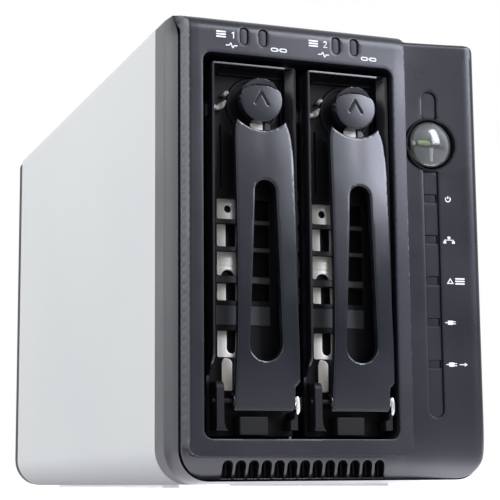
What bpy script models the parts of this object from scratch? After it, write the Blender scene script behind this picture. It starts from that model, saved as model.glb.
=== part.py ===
"""Two-bay network attached storage: silver wrap casing, black front bezel, two slide-out drive trays.

Sizes are in millimetres and become metres where meshes are made. x runs from the left side (0) to
the right side (WIDTH), y from the foremost face (0) to the rear edge (DEPTH), z up from the table (0).
The row frame has its origin at the middle of the footprint, front towards -Y.
"""

import math

import bmesh
import bpy
from mathutils import Vector

MM = 0.001
GAP = 0.3  # free space kept between pieces that touch on the real object
SEAM = 0.2  # shut line between the casing's sections
THROUGH = (-1.0, 14.0)  # depths before and behind the whole bezel, for openings right through it

# Casing
WIDTH = 110.0
DEPTH = 239.0
HEIGHT = 151.0
FOOT_HEIGHT = 1.0
TOP_RADIUS = 3.0
BOTTOM_RADIUS = 11.5
SHELL_THICKNESS = 1.2
SHELL_FRONT = 20.2
REAR_BAND = 5.0
REAR_WALL = 3.0
FRAME_WALL = 2.2
FRAME_FRONT = 5.2
GROOVE = 0.6

# Front bezel
PANEL_FRONT = 5.0
SURROUND = (5.6, 80.7, 9.5, 151.0)
SURROUND_TOP_RADIUS = 5.3
SURROUND_REAR = 9.4
SURROUND_EDGE = 1.3
PANEL_REAR_FACE = 9.6
PANEL_TOP_RADIUS = 4.0
BEZEL_HOLLOW = (7.4, 13.0)
OPENING = (9.9, 76.8, 15.0, 138.5)
OPENING_RADIUS = 3.0
SWEEP_START = 81.0
SWEEP_END = 105.9
SWEEP_FORWARD = 3.2
VENT_COUNT = 13
VENT_PITCH = 4.3
VENT_FIRST = 18.6
VENT_WIDTH = 2.9
VENT_TOP = 8.5
VENT_FOOT = 2.9

# Lights and power button on the side panel
STRIP_X = 92.4
STRIP_WIDTH = 5.2
STRIP_Z = (22.2, 133.0)
WINDOW_HEIGHTS = (96.0, 82.0, 68.0, 54.0, 40.0)
DOME_Z = 114.4
DOME_RADIUS = 7.9
DOME_SEAT_RADIUS = DOME_RADIUS + 1.4
DOME_AXIS_Y = 4.0
STRIP_SINK = 0.9
BAY_LIGHTS = ((24.0, 144.8), (30.6, 144.8), (56.5, 144.8), (63.1, 144.8))

# Trays
TRAY_CENTRES = {"a": 28.1, "b": 61.4}
TRAY_HALF = 14.6
TRAY_Z = (16.0, 136.2)
TRAY_MIDDLE = 76.0
TRAY_FRONT = 2.0
TRAY_WALL = 0.9
LADDER_Y = (8.6, 10.4)
HINGE = (3.7, 27.0)
SPRING_RADIUS = 2.2
BUTTON = (1.7, 123.9)
BUTTON_RADIUS = 7.2
DRIVE_SIZE = (26.1, 147.0, 101.6)
DRIVE_FRONT = 24.0
DRIVE_BOTTOM = 25.2
SCREW_HOLE = 1.9
RAIL_WEB = 1.5
RAIL_END = 168.0

# Inside and rear
CAGE_X = (9.1, 43.5, 78.1)
CAGE_Y = (14.0, 172.0)
CAGE_Z = (12.6, 141.0)
SHEET = 1.0
BACKPLANE_Y = 179.5
BOARD_THICKNESS = 1.6
PANEL_REAR = (235.2, 236.4)
FAN = (44.5, 96.0, 70.0, 15.0)
PORT_X = 95.5

PARTS = "network_attached_storage"
HELPERS = "cutters"


def clear_scene():
    for obj in list(bpy.data.objects):
        bpy.data.objects.remove(obj, do_unlink=True)
    for name in (PARTS, HELPERS):
        bpy.context.scene.collection.children.link(bpy.data.collections.new(name))


def look(name, colour, roughness=0.45, metallic=0.0, alpha=1.0):
    """A Principled material, made once for each name."""
    material = bpy.data.materials.get(name)
    if material is None:
        material = bpy.data.materials.new(name)
        material.use_nodes = True
        shader = material.node_tree.nodes["Principled BSDF"]
        shader.inputs["Base Color"].default_value = (*colour, 1.0)
        shader.inputs["Roughness"].default_value = roughness
        shader.inputs["Metallic"].default_value = metallic
        shader.inputs["Alpha"].default_value = alpha
        material.diffuse_color = (*colour, alpha)
    return material


SILVER = ("silver_coating", (0.78, 0.79, 0.79), 0.38, 0.6)
BLACK = ("black_plastic", (0.022, 0.023, 0.027), 0.35)
GLOSS = ("gloss_black", (0.018, 0.018, 0.022), 0.18)
STEEL = ("galvanised_steel", (0.62, 0.62, 0.6), 0.42, 1.0)
BRACKET = ("bright_bracket", (0.78, 0.76, 0.71), 0.4, 0.8)
ALLOY = ("cast_aluminium", (0.6, 0.61, 0.62), 0.45, 1.0)
BOARD = ("circuit_board", (0.02, 0.16, 0.06), 0.5)
RUBBER = ("black_rubber", (0.02, 0.02, 0.02), 0.9)
CLEAR = ("clear_plastic", (0.86, 0.9, 0.86), 0.08, 0.0, 0.35)
GREEN = ("green_core", (0.25, 0.45, 0.22), 0.3)
LENS = ("smoked_lens", (0.05, 0.055, 0.06), 0.2)


def at(x, y, z):
    """A place in the row frame, in metres."""
    return Vector(((x - WIDTH / 2) * MM, (y - DEPTH / 2) * MM, z * MM))


def finished(bm, name="shape"):
    bmesh.ops.remove_doubles(bm, verts=bm.verts, dist=1e-7)
    bmesh.ops.recalc_face_normals(bm, faces=bm.faces)
    mesh = bpy.data.meshes.new(name)
    bm.to_mesh(mesh)
    bm.free()
    return mesh


def helper_object(mesh, name="helper"):
    obj = bpy.data.objects.new(name, mesh)
    obj.hide_render = True
    obj.display_type = "WIRE"
    bpy.data.collections[HELPERS].objects.link(obj)
    return obj


def block(x0, x1, y0, y1, z0, z1):
    bm = bmesh.new()
    bmesh.ops.create_cube(bm, size=1.0)
    for vert in bm.verts:
        share = vert.co + Vector((0.5, 0.5, 0.5))
        vert.co = at(x0 + share.x * (x1 - x0), y0 + share.y * (y1 - y0), z0 + share.z * (z1 - z0))
    return finished(bm)


def arc(cx, cy, radius, start, end, steps):
    """Points on a circular arc; angles in degrees."""
    return [
        (cx + radius * math.cos(math.radians(start + (end - start) * i / steps)),
         cy + radius * math.sin(math.radians(start + (end - start) * i / steps)))
        for i in range(steps + 1)
    ]


def circle(cx, cy, radius, steps=24):
    return arc(cx, cy, radius, 0, 360, steps)[:-1]


def rounded(x0, x1, z0, z1, bottom, top=None, steps=5, top_right=None):
    """A rectangle with rounded corners, anticlockwise from the bottom left corner."""
    top = bottom if top is None else top
    right = top if top_right is None else top_right
    return (
        arc(x0 + bottom, z0 + bottom, bottom, 180, 270, steps)
        + arc(x1 - bottom, z0 + bottom, bottom, 270, 360, steps)
        + arc(x1 - right, z1 - right, right, 0, 90, steps)
        + arc(x0 + top, z1 - top, top, 90, 180, steps)
    )


def stadium(cx, cz, width, height, steps=8):
    """An upright slot outline with round ends."""
    radius = width / 2
    reach = height / 2 - radius
    return arc(cx, cz + reach, radius, 0, 180, steps) + arc(cx, cz - reach, radius, 180, 360, steps)


def slab(axis, low, high, outer, *holes):
    """A flat outline with holes, extruded along an axis from low to high."""
    curve = bpy.data.curves.new("outline", "CURVE")
    curve.dimensions = "2D"
    curve.fill_mode = "BOTH"
    curve.extrude = (high - low) / 2
    for loop in (outer, *holes):
        spline = curve.splines.new("POLY")
        spline.points.add(len(loop) - 1)
        for point, (u, v) in zip(spline.points, loop):
            point.co = (u, v, 0.0, 1.0)
        spline.use_cyclic_u = True
    guide = helper_object(curve)
    graph = bpy.context.evaluated_depsgraph_get()
    flat = bpy.data.meshes.new_from_object(guide.evaluated_get(graph))
    bpy.data.objects.remove(guide, do_unlink=True)
    bpy.data.curves.remove(curve)
    bm = bmesh.new()
    bm.from_mesh(flat)
    bpy.data.meshes.remove(flat)
    bmesh.ops.remove_doubles(bm, verts=bm.verts, dist=1e-4)
    middle = (low + high) / 2
    for vert in bm.verts:
        u, v, w = vert.co.x, vert.co.y, vert.co.z + middle
        vert.co = {"X": at(w, u, v), "Y": at(u, w, v), "Z": at(u, v, w)}[axis]
    return finished(bm)


def rod(axis, low, high, u, v, radius, steps=16, end_radius=None):
    """A cylinder or cone along an axis, centred on (u, v) in the plane across it."""
    bm = bmesh.new()
    end = radius if end_radius is None else end_radius
    bmesh.ops.create_cone(bm, cap_ends=True, segments=steps, radius1=radius, radius2=end, depth=high - low)
    middle = (low + high) / 2
    for vert in bm.verts:
        a, b, w = vert.co.x, vert.co.y, vert.co.z + middle
        vert.co = {"X": at(w, u + a, v + b), "Y": at(u + a, w, v + b), "Z": at(u + a, v + b, w)}[axis]
    return finished(bm)


def loft(loops):
    """A closed solid through loops of (x, y, z) points that all have the same count."""
    bm = bmesh.new()
    rings = [[bm.verts.new(at(*point)) for point in loop] for loop in loops]
    for lower, upper in zip(rings, rings[1:]):
        for i, vert in enumerate(lower):
            j = (i + 1) % len(lower)
            bm.faces.new((vert, lower[j], upper[j], upper[i]))
    bm.faces.new(rings[0])
    bm.faces.new(rings[-1])
    bmesh.ops.triangulate(bm, faces=bm.faces)
    return finished(bm)


def turned(profile, x, z, steps=24):
    """A turned solid about an axis along y: profile of (radius, y) from the front to the rear."""
    loops = [[(x + r * math.cos(a), y, z + r * math.sin(a))
              for a in (2 * math.pi * i / steps for i in range(steps))] for r, y in profile]
    return loft(loops)


def wire(points, radius, sides=2, cyclic=False):
    """A bent round wire through (x, y, z) points."""
    curve = bpy.data.curves.new("wire", "CURVE")
    curve.dimensions = "3D"
    curve.bevel_depth = radius
    curve.bevel_resolution = sides
    curve.use_fill_caps = True
    spline = curve.splines.new("POLY")
    spline.points.add(len(points) - 1)
    for point, place in zip(spline.points, points):
        point.co = (*place, 1.0)
    spline.use_cyclic_u = cyclic
    guide = helper_object(curve)
    graph = bpy.context.evaluated_depsgraph_get()
    tube = bpy.data.meshes.new_from_object(guide.evaluated_get(graph))
    bpy.data.objects.remove(guide, do_unlink=True)
    bpy.data.curves.remove(curve)
    bm = bmesh.new()
    bm.from_mesh(tube)
    bpy.data.meshes.remove(tube)
    bmesh.ops.remove_doubles(bm, verts=bm.verts, dist=1e-4)
    for vert in bm.verts:
        vert.co = at(*vert.co)
    return finished(bm)


def group(meshes):
    """Several separate solids in one mesh."""
    bm = bmesh.new()
    for mesh in meshes:
        bm.from_mesh(mesh)
        bpy.data.meshes.remove(mesh)
    return finished(bm)


def boolean(obj, operation, mesh, name):
    modifier = obj.modifiers.new(name, "BOOLEAN")
    modifier.operation = operation
    modifier.object = helper_object(mesh, f"{obj.name}_{name}")
    return modifier.object


def round_edges(obj, width, segments=2, angle=40):
    modifier = obj.modifiers.new("edges", "BEVEL")
    modifier.width = width * MM
    modifier.segments = segments
    modifier.limit_method = "ANGLE"
    modifier.angle_limit = math.radians(angle)
    modifier.use_clamp_overlap = True


def part(name, finish, mesh, keep=(), join=(), cut=(), soft=0.0, pivot=None, parent=None):
    """One named piece. keep, join and cut are meshes for its Booleans; pivot is its origin."""
    origin = at(*pivot) if pivot else Vector((0.0, 0.0, 0.0))
    for vert in mesh.vertices:
        vert.co -= origin
    obj = bpy.data.objects.new(name, mesh)
    obj.location = origin
    mesh.name = name
    mesh.materials.clear()
    mesh.materials.append(look(*finish))
    mesh.shade_smooth()
    mesh.set_sharp_from_angle(angle=math.radians(35))
    bpy.data.collections[PARTS].objects.link(obj)
    if soft:
        round_edges(obj, soft)
    for i, other in enumerate(keep):
        boolean(obj, "INTERSECT", other, f"keep_{i}")
    for i, other in enumerate(join):
        boolean(obj, "UNION", other, f"join_{i}")
    for i, other in enumerate(cut):
        boolean(obj, "DIFFERENCE", other, f"cut_{i}")
    if parent:
        ride_on(obj, parent)
    return obj


def pivot_empty(name, place, parent=None):
    empty = bpy.data.objects.new(name, None)
    empty.location = at(*place)
    empty.empty_display_size = 0.01
    bpy.data.collections[PARTS].objects.link(empty)
    if parent:
        ride_on(empty, parent)
    return empty


def ride_on(obj, parent):
    bpy.context.view_layer.update()
    obj.parent = parent
    obj.matrix_parent_inverse = parent.matrix_world.inverted()


def casing_outline(inset, steps=8):
    """The casing's cross-section in x and z, moved in by inset."""
    return rounded(
        inset, WIDTH - inset, FOOT_HEIGHT + inset, HEIGHT - inset,
        max(BOTTOM_RADIUS - inset, 0.4), max(TOP_RADIUS - inset, 0.4), steps,
    )


def make_casing():
    rear = DEPTH - REAR_BAND
    part("outer_shell", SILVER,
         slab("Y", SHELL_FRONT, rear - SEAM, casing_outline(0), casing_outline(SHELL_THICKNESS)))
    part("front_frame", BLACK,
         slab("Y", FRAME_FRONT, SHELL_FRONT - SEAM, casing_outline(0), casing_outline(FRAME_WALL)),
         cut=[block(FRAME_WALL, WIDTH - FRAME_WALL, 0, 10.3, HEIGHT - 6, HEIGHT + 1)])
    part("rear_frame", BLACK, slab("Y", rear, DEPTH, casing_outline(0), casing_outline(REAR_WALL)))
    for side, x in (("left", 15.5), ("right", WIDTH - 15.5)):
        part(f"foot_strip_{side}", RUBBER, block(x - 3, x + 3, 52, 206, 0, FOOT_HEIGHT - 0.05))


def sweep(x):
    """The side panel's front face comes forward towards the right."""
    share = min(max((x - SWEEP_START) / (SWEEP_END - SWEEP_START), 0.0), 1.0)
    return PANEL_FRONT - SWEEP_FORWARD * share ** 1.25


def panel_section(z):
    """The bezel's flat part cut at height z: rounded side edges, and a rounded top edge."""
    left, right, back = FRAME_WALL + GROOVE, WIDTH - FRAME_WALL - GROOVE, PANEL_REAR_FACE
    radius = PANEL_TOP_RADIUS
    rise = max(z - (HEIGHT - radius), 0.0)
    push = radius - math.sqrt(max(radius * radius - rise * rise, 0.0))
    front = [(left + 1.2, PANEL_FRONT)]
    for i in range(7):
        x = SWEEP_START + (SWEEP_END - SWEEP_START) * i / 6
        front.append((x, sweep(x)))
    loop = [(left, back), (left, min(PANEL_FRONT + 1.2 + push, back - 0.1))]
    loop += [(x, min(y + push, back - 0.2)) for x, y in front]
    loop += [(right, min(sweep(SWEEP_END) + 1.3 + push, back - 0.1)), (right, back)]
    return [(x, y, z) for x, y in loop]


def vent_slot(i):
    x = VENT_FIRST + i * VENT_PITCH
    top = arc(x, VENT_TOP - VENT_WIDTH / 2, VENT_WIDTH / 2, 0, 180, 4)
    return [*top, (x - VENT_WIDTH / 2, VENT_FOOT), (x + VENT_WIDTH / 2, VENT_FOOT)]


def surround_form():
    """The raised surround as a helper: rounded at the top edge and softened all round."""
    x0, x1, z0, z1 = SURROUND
    rim = SURROUND_TOP_RADIUS
    side_view = [(0.0, z0 - 1), (SURROUND_REAR, z0 - 1), (SURROUND_REAR, z1)]
    side_view += arc(rim, z1 - rim, rim, 90, 180, 8)
    front_view = rounded(x0, x1, z0, z1 + 2, 5.0, 0.5)
    form = helper_object(slab("Y", 0, SURROUND_REAR, front_view), "surround_form")
    boolean(form, "INTERSECT", slab("X", x0 - 1, x1 + 1, side_view), "side_view")
    round_edges(form, SURROUND_EDGE, 3, 50)
    return form


def bezel_openings():
    """Everything cut out of the bezel, the hollow behind its face first."""
    inset = FRAME_WALL + GROOVE
    x0, x1, z0, z1 = OPENING
    wall = 2.0
    hollow = slab(
        "Y", *BEZEL_HOLLOW,
        rounded(inset + 2.4, WIDTH - inset - 2.4, FOOT_HEIGHT + inset + 1.2, HEIGHT - 3.4, 7.0, 1.0),
        rounded(x0 - wall, x1 + wall, z0 - wall, z1 + wall, OPENING_RADIUS + wall),
    )
    groove_foot = WINDOW_HEIGHTS[0] + 26.0
    groove = stadium(STRIP_X, groove_foot, STRIP_WIDTH, 2 * (STRIP_Z[1] - groove_foot))
    return [
        hollow,
        slab("Y", *THROUGH, rounded(*OPENING, OPENING_RADIUS)),
        rod("Y", *THROUGH, STRIP_X, DOME_Z, DOME_SEAT_RADIUS, 32),
        slab("Y", *THROUGH, strip_outline(0.0)),
        slab("Y", THROUGH[0], sweep(STRIP_X) + STRIP_SINK, groove),
        group([slab("Y", *THROUGH, stadium(x, z, 3.0, 6.0, 6)) for x, z in BAY_LIGHTS]),
        group([slab("Y", *THROUGH, vent_slot(i)) for i in range(VENT_COUNT)]),
    ]


def make_bezel():
    inset = FRAME_WALL + GROOVE
    left, right, foot = inset, WIDTH - inset, FOOT_HEIGHT + inset
    radius = PANEL_TOP_RADIUS
    heights = [foot, 60.0, 110.0]
    heights += [HEIGHT - radius + radius * math.sin(math.pi * i / 12) for i in range(7)]
    skirt = slab("Y", 9.2, 12.0, rounded(left, right, foot, HEIGHT - inset - 0.2, 9.0, 1.0))
    outline = slab("Y", *THROUGH, rounded(left, right, foot, HEIGHT + 1, 9.0, 0.5))
    surround = surround_form()
    face = loft([panel_section(z) for z in heights])
    bezel = part("front_bezel", BLACK, face, join=[skirt], keep=[outline])
    union = bezel.modifiers.new("surround", "BOOLEAN")
    union.operation = "UNION"
    union.object = surround
    for i, mesh in enumerate(bezel_openings()):
        boolean(bezel, "DIFFERENCE", mesh, f"cut_{i}")


def strip_outline(inset):
    """The light strip's slot: round at the foot, ending behind the power button's ring."""
    half = STRIP_WIDTH / 2 - inset
    low, high = STRIP_Z[0] + inset, DOME_Z - DOME_RADIUS
    return [*arc(STRIP_X, low + half, half, 180, 360, 8), (STRIP_X + half, high), (STRIP_X - half, high)]


def make_front_lights():
    pipes = [slab("Y", 0.25, 8.4, stadium(x, z, 2.5, 5.5, 6)) for x, z in BAY_LIGHTS]
    first, last, height = BAY_LIGHTS[0][0], BAY_LIGHTS[-1][0], BAY_LIGHTS[0][1]
    bar = block(first - 1.2, last + 1.2, 7.8, 9.2, height - 2.2, height + 1.6)
    part("bay_light_pipe", LENS, bar, join=[group(pipes)])
    face = sweep(STRIP_X) + STRIP_SINK
    windows = [block(STRIP_X - 2.1, STRIP_X + 2.1, *THROUGH, z - 1.4, z + 1.4) for z in WINDOW_HEIGHTS]
    part("status_strip", BLACK, slab("Y", face, face + 2.0, strip_outline(0.2)),
         cut=[group(windows), rod("Y", *THROUGH, STRIP_X, DOME_Z, DOME_SEAT_RADIUS, 32)])
    lights = [block(STRIP_X - 1.85, STRIP_X + 1.85, face - 0.2, face + 3.4, z - 1.15, z + 1.15)
              for z in WINDOW_HEIGHTS]
    top, foot = WINDOW_HEIGHTS[0], WINDOW_HEIGHTS[-1]
    spine = block(STRIP_X - 1.5, STRIP_X + 1.5, face + 2.4, face + 3.6, foot - 1, top + 1)
    part("status_light_pipe", LENS, spine, join=[group(lights)])


def make_power_button():
    radius = DOME_RADIUS
    centre = (STRIP_X, DOME_AXIS_Y, DOME_Z)
    crown = [(radius * math.sin(math.radians(a)), 0.2 + 3.9 * (1 - math.cos(math.radians(a))))
             for a in (8, 28, 48, 68, 90)]
    inner = [(r * 0.88, y + 1.0) for r, y in crown]
    cap = turned(crown + [(radius, 7.0), (inner[-1][0], 7.0)] + inner[::-1], STRIP_X, DOME_Z, 24)
    pivot = pivot_empty("power_button_axis", centre)
    part("power_button", CLEAR, cap, pivot=centre, parent=pivot)
    ribs = [block(STRIP_X - 5.6, STRIP_X + 5.6, 3.8, 6.8, DOME_Z - 0.5, DOME_Z + 0.5),
            block(STRIP_X - 0.5, STRIP_X + 0.5, 3.8, 6.8, DOME_Z - 5.6, DOME_Z + 5.6)]
    part("power_button_core", GREEN, rod("Y", 5.0, 7.4, STRIP_X, DOME_Z, 6.4, 24), join=ribs,
         pivot=centre, parent=pivot)
    outer, inner = (circle(STRIP_X, DOME_Z, radius + extra, 32) for extra in (1.1, 0.3))
    part("power_button_ring", GLOSS, slab("Y", 3.0, 6.6, outer, inner))


def make_front_board():
    lamps = [block(STRIP_X - 1.2, STRIP_X + 1.2, 10.4, 12.6, z - 0.8, z + 0.8) for z in WINDOW_HEIGHTS]
    switch = block(STRIP_X - 3, STRIP_X + 3, 10.0, 12.6, DOME_Z - 3, DOME_Z + 3)
    plunger = rod("Y", 9.2, 10.4, STRIP_X, DOME_Z, 1.6, 12)
    part("light_board", BOARD, block(84.0, 102.0, 12.4, 14.0, 30.0, 132.0),
         join=[switch, plunger, group(lamps)])


# Ladder windows of a tray front, as (bottom, top) heights
WINDOWS = ((85.8, 92.6), (76.8, 84.2), (67.4, 75.2), (59.3, 64.8))
FRONT_COLUMNS = ((-10.8, -3.2), (0.9, 7.0))
LOW_WINDOW = (41.1, 49.6)
ARCH = (-7.5, 30.1, 3.9, 10.9)


def tray_mesh(cx):
    """The thin frame round a tray's front."""
    left, right = cx - TRAY_HALF, cx + TRAY_HALF
    low, high = TRAY_Z
    wall = TRAY_WALL
    return slab("Y", TRAY_FRONT, LADDER_Y[0] + 0.4, rounded(left, right, low, high, 0.6, steps=2),
                rounded(left + wall, right - wall, low + wall, high - wall, 0.3, steps=1))


def ladder_mesh(cx):
    """The sheet behind the lever, with its two columns of windows and the arched opening."""
    holes = []
    for z0, z1 in WINDOWS:
        holes += [rounded(cx + u0, cx + u1, z0, z1, 0.3, steps=1) for u0, u1 in FRONT_COLUMNS]
    u0, u1 = FRONT_COLUMNS[0]
    holes.append(rounded(cx + u0, cx + u1, *LOW_WINDOW, 0.3, steps=1))
    u, z, width, height = ARCH
    holes.append(arc(cx + u, z + height - width / 2, width / 2, 0, 180, 6)
                 + [(cx + u - width / 2, z), (cx + u + width / 2, z)])
    low, high = TRAY_Z
    return slab("Y", *LADDER_Y, rounded(cx - TRAY_HALF, cx + TRAY_HALF, low, high, 0.6, steps=2), *holes)


def rail_mesh(cx, z_web, direction):
    """A channel beside the drive; direction is +1 where its flanges point up."""
    web = z_web + direction * RAIL_WEB
    tip = z_web + direction * 6.4
    wall = 1.4
    outline = [(cx - 12.8, z_web), (cx + 12.8, z_web), (cx + 12.8, tip), (cx + 12.8 - wall, tip),
               (cx + 12.8 - wall, web), (cx - 12.8 + wall, web), (cx - 12.8 + wall, tip), (cx - 12.8, tip)]
    return slab("Y", LADDER_Y[0] + 0.4, RAIL_END, outline)


def side_wall(cx):
    """The left cheek behind the ladder, with its row of windows."""
    left = cx - TRAY_HALF
    cheek = block(left, left + TRAY_WALL, LADDER_Y[0] + 0.4, 26.0, 24.0, 128.0)
    holes = [block(left - 1, left + TRAY_WALL + 1, LADDER_Y[1] + 0.6, 22.0, z0, z1)
             for z0, z1 in (*WINDOWS, (93.8, 98.0))]
    return cheek, holes


def tray_ears(cx):
    """The two lugs that hold the hinge pin."""
    low = TRAY_Z[0] + 0.4
    left, right = cx - TRAY_HALF, cx + TRAY_HALF
    rounded_top = arc(4.4, 30.6, 2.4, 60, 180, 4)
    return [
        slab("X", left + 0.4, left + 3.0, [(TRAY_FRONT, low), (8.9, low), (8.9, 33.0), *rounded_top]),
        block(cx + 11.5, right - 0.4, TRAY_FRONT, 8.9, low, 23.4),
    ]


def make_tray(side, cx):
    base = pivot_empty(f"tray_{side}_slide", (cx, 0, TRAY_MIDDLE))
    cheek, cheek_holes = side_wall(cx)
    x, z = cx + BUTTON[0], BUTTON[1]
    outer, inner = (circle(x, z, BUTTON_RADIUS + extra, 24) for extra in (2.2, 0.8))
    socket = slab("Y", 7.8, 9.0, outer, inner)
    tab = block(cx - 6.5, cx + 2.9, TRAY_FRONT + 0.2, 8.9, TRAY_Z[0] + 0.3, 21.4)
    rails = [rail_mesh(cx, DRIVE_BOTTOM + DRIVE_SIZE[2] + GAP, 1), rail_mesh(cx, DRIVE_BOTTOM - GAP, -1)]
    bore = rod("X", cx - TRAY_HALF - 1, cx + TRAY_HALF + 1, *HINGE, 1.05, 16)
    screw_holes = [rod("Z", DRIVE_BOTTOM - 8, DRIVE_BOTTOM, cx + u, v, SCREW_HOLE, 12)
                   for u, v in screw_places()]
    part(f"tray_{side}", BLACK, tray_mesh(cx),
         join=[ladder_mesh(cx), cheek, *tray_ears(cx), socket, tab, *rails],
         cut=[group(cheek_holes), bore, group(screw_holes)], pivot=(cx, 0, TRAY_MIDDLE), parent=base)
    make_handle(side, cx, base)
    make_eject_button(side, cx, base)
    make_bracket(side, cx, base)
    make_drive(side, cx, base)


def screw_places():
    """Where the drive's side screws stand, as offsets across and along."""
    return ((0.0, DRIVE_FRONT + 28.5), (0.0, DRIVE_FRONT + 130.1))


def handle_outline(cx):
    """The lever's front view: concave top round the button, sides that flare at the foot."""
    notch = arc(2.4, 126.3, 11.8, 229, 311, 8)
    left = [(-5.9, 116.4), (-6.4, 113.5), (-6.5, 108.0), (-6.5, 62.0), (-6.9, 48.0), (-7.6, 36.0),
            (-8.7, 23.8)]
    right = [(10.8, 23.8), (11.1, 30.4), (13.2, 31.4), (13.2, 45.0), (13.0, 62.0), (13.0, 101.0),
             (12.7, 109.0), (12.0, 113.6), (10.9, 116.6)]
    return [(cx + u, z) for u, z in (*left, *right, *notch[::-1])]


def handle_slot(cx):
    """The tapered finger hole, wide at its lower end."""
    return arc(cx + 3.1, 94.2, 3.6, 8, 172, 8) + arc(cx + 2.9, 45.1, 5.6, 172, 368, 10)


def bowed_profile():
    """The lever's side view: front and rear faces bow gently forward at mid height."""
    def front(z):
        return 0.15 + 1.0 * ((z - 75.0) / 50.0) ** 2
    heights = [20.0 + 10.0 * i for i in range(11)]
    return [(front(z), z) for z in heights] + [(front(z) + 3.0, z) for z in reversed(heights)]


def make_handle(side, cx, base):
    y, z = HINGE
    pivot = pivot_empty(f"handle_{side}_axis", (cx, y, z), base)
    bar = slab("Y", -1, 8, handle_outline(cx), handle_slot(cx))
    part(f"handle_{side}", GLOSS, bar, keep=[slab("X", cx - 20, cx + 20, bowed_profile())],
         join=[rod("X", cx - 8.0, cx + 10.7, y, z, 2.3, 20)],
         cut=[rod("X", cx - 16, cx + 16, y, z, 1.35, 16)], pivot=(cx, y, z), parent=pivot)
    pin = rod("X", cx - TRAY_HALF + 0.1, cx + TRAY_HALF - 0.1, y, z, 0.85, 16)
    part(f"hinge_pin_{side}", STEEL, pin, parent=base)
    turns, steps = 2.5, 9
    coil = []
    for i in range(int(turns * steps) + 1):
        angle = 2 * math.pi * i / steps
        coil.append((cx + 11.7 + 0.66 * i / steps, y + SPRING_RADIUS * math.cos(angle),
                     z + SPRING_RADIUS * math.sin(angle)))
    part(f"hinge_spring_{side}", STEEL, wire(coil, 0.3, 1), parent=base)


def make_eject_button(side, cx, base):
    u, z = BUTTON
    x = cx + u
    pivot = pivot_empty(f"eject_button_{side}_axis", (x, 0.3, z), base)
    thumb = slab("X", x - 9, x + 9, [(-1, z + 4.6), (0.9, z + 4.6), (2.6, z + 9), (-1, z + 9)])
    part(f"eject_button_{side}", GLOSS,
         turned([(6.9, 0.3), (BUTTON_RADIUS, 0.7), (BUTTON_RADIUS, 4.6), (5.4, 4.6), (5.4, 6.5)], x, z, 32),
         cut=[thumb], pivot=(x, 0.3, z), parent=pivot)
    latch = [(1.2, -10.4), (4.6, -10.4), (4.6, -8.6), (5.6, -8.2), (5.6, -7.0), (-3.0, -7.0), (-3.0, -9.0),
             (1.2, -9.0)]
    part(f"eject_latch_{side}", STEEL, slab("Y", 4.9, 5.7, [(x + right, z + up) for right, up in latch]),
         pivot=(x, 0.3, z), parent=pivot)


def make_bracket(side, cx, base):
    """Bright sheet behind the left column of the ladder: a perforated front and a side leg."""
    low, high = 27.0, 100.0
    u0, u1 = -13.2, -0.4
    y0, y1 = 11.4, 12.2
    plate = slab(
        "Y", y0, y1, rounded(cx + u0, cx + u1, low, high, 0.3, steps=1),
        circle(cx - 6.1, 89.6, 1.25, 12),
        rounded(cx - 6.9, cx - 3.3, 75.6, 85.0, 0.3, steps=1),
        arc(cx - 6.2, 67.2, 2.4, 0, 180, 6) + [(cx - 8.6, 66.4), (cx - 3.8, 66.4)],
        rounded(cx - 6.9, cx - 3.3, 55.0, 65.2, 0.3, steps=1),
        stadium(cx - 5.0, 47.0, 3.4, 9.0, 6),
    )
    leg = block(cx + u0, cx + u0 + 0.8, y0 + 0.4, 23.0, low, high)
    part(f"tray_bracket_{side}", BRACKET, plate, join=[leg], parent=base)
    spring = [(-12.6, 122.6), (-10.2, 123.4), (-8.4, 123.0), (-8.4, 125.0), (-10.0, 126.4), (-12.6, 125.2)]
    part(f"latch_spring_{side}", BRACKET, slab("Y", 7.2, 7.9, [(cx + u, z) for u, z in spring]), parent=base)


def make_drive(side, cx, base):
    width, length, height = DRIVE_SIZE
    x0, x1 = cx - width / 2, cx + width / 2
    y0, y1 = DRIVE_FRONT, DRIVE_FRONT + length
    z0, z1 = DRIVE_BOTTOM, DRIVE_BOTTOM + height
    holes = [rod("Z", z0 - 1, z0 + 4, cx + u, v, SCREW_HOLE, 12) for u, v in screw_places()]
    plug = block(x1 - 6.0, x1 + 1, y1 - 6.0, y1 + 1, z0 + 20, z0 + 55)
    lid = slab("X", x0, x0 + 1.4, rounded(y0 + 2, y1 - 14, z0 + 2, z1 - 2, 6.0))
    part(f"hard_drive_{side}", ALLOY, block(x0 + 1.2, x1 - 2.4, y0, y1, z0, z1),
         join=[lid], cut=[group(holes), plug], soft=1.2, parent=base)
    connector = block(x1 - 5.7, x1 - 1.6, y1 - 5.6, y1, z0 + 21, z0 + 54)
    part(f"drive_board_{side}", BOARD, block(x1 - 2.1, x1 - 0.5, y0 + 30, y1 - 1, z0 + 6, z1 - 6),
         join=[connector], parent=base)
    for i, (u, v) in enumerate(screw_places(), 1):
        part(f"drive_screw_{side}{i}", STEEL, rod("Z", z0 - 4.2, z0 - 2.3, cx + u, v, 2.9, 12),
             join=[rod("Z", z0 - 2.5, z0 + 3.4, cx + u, v, 1.5, 12)], parent=base)


def cage_cell(wall, next_wall, tray_left):
    """One bay's clear outline: plain on the right, two guide ribs beside the tray on the left."""
    left, right = wall + SHEET, next_wall
    low, high = CAGE_Z[0] + SHEET, CAGE_Z[1] - SHEET
    rib = tray_left - 0.4
    ribs = [(x, z) for z in (125.0, 29.0) for x, z in ((left, z), (rib, z), (rib, z - 4.0), (left, z - 4.0))]
    return [(left, low), (right, low), (right, high), (left, high), *ribs]


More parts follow.
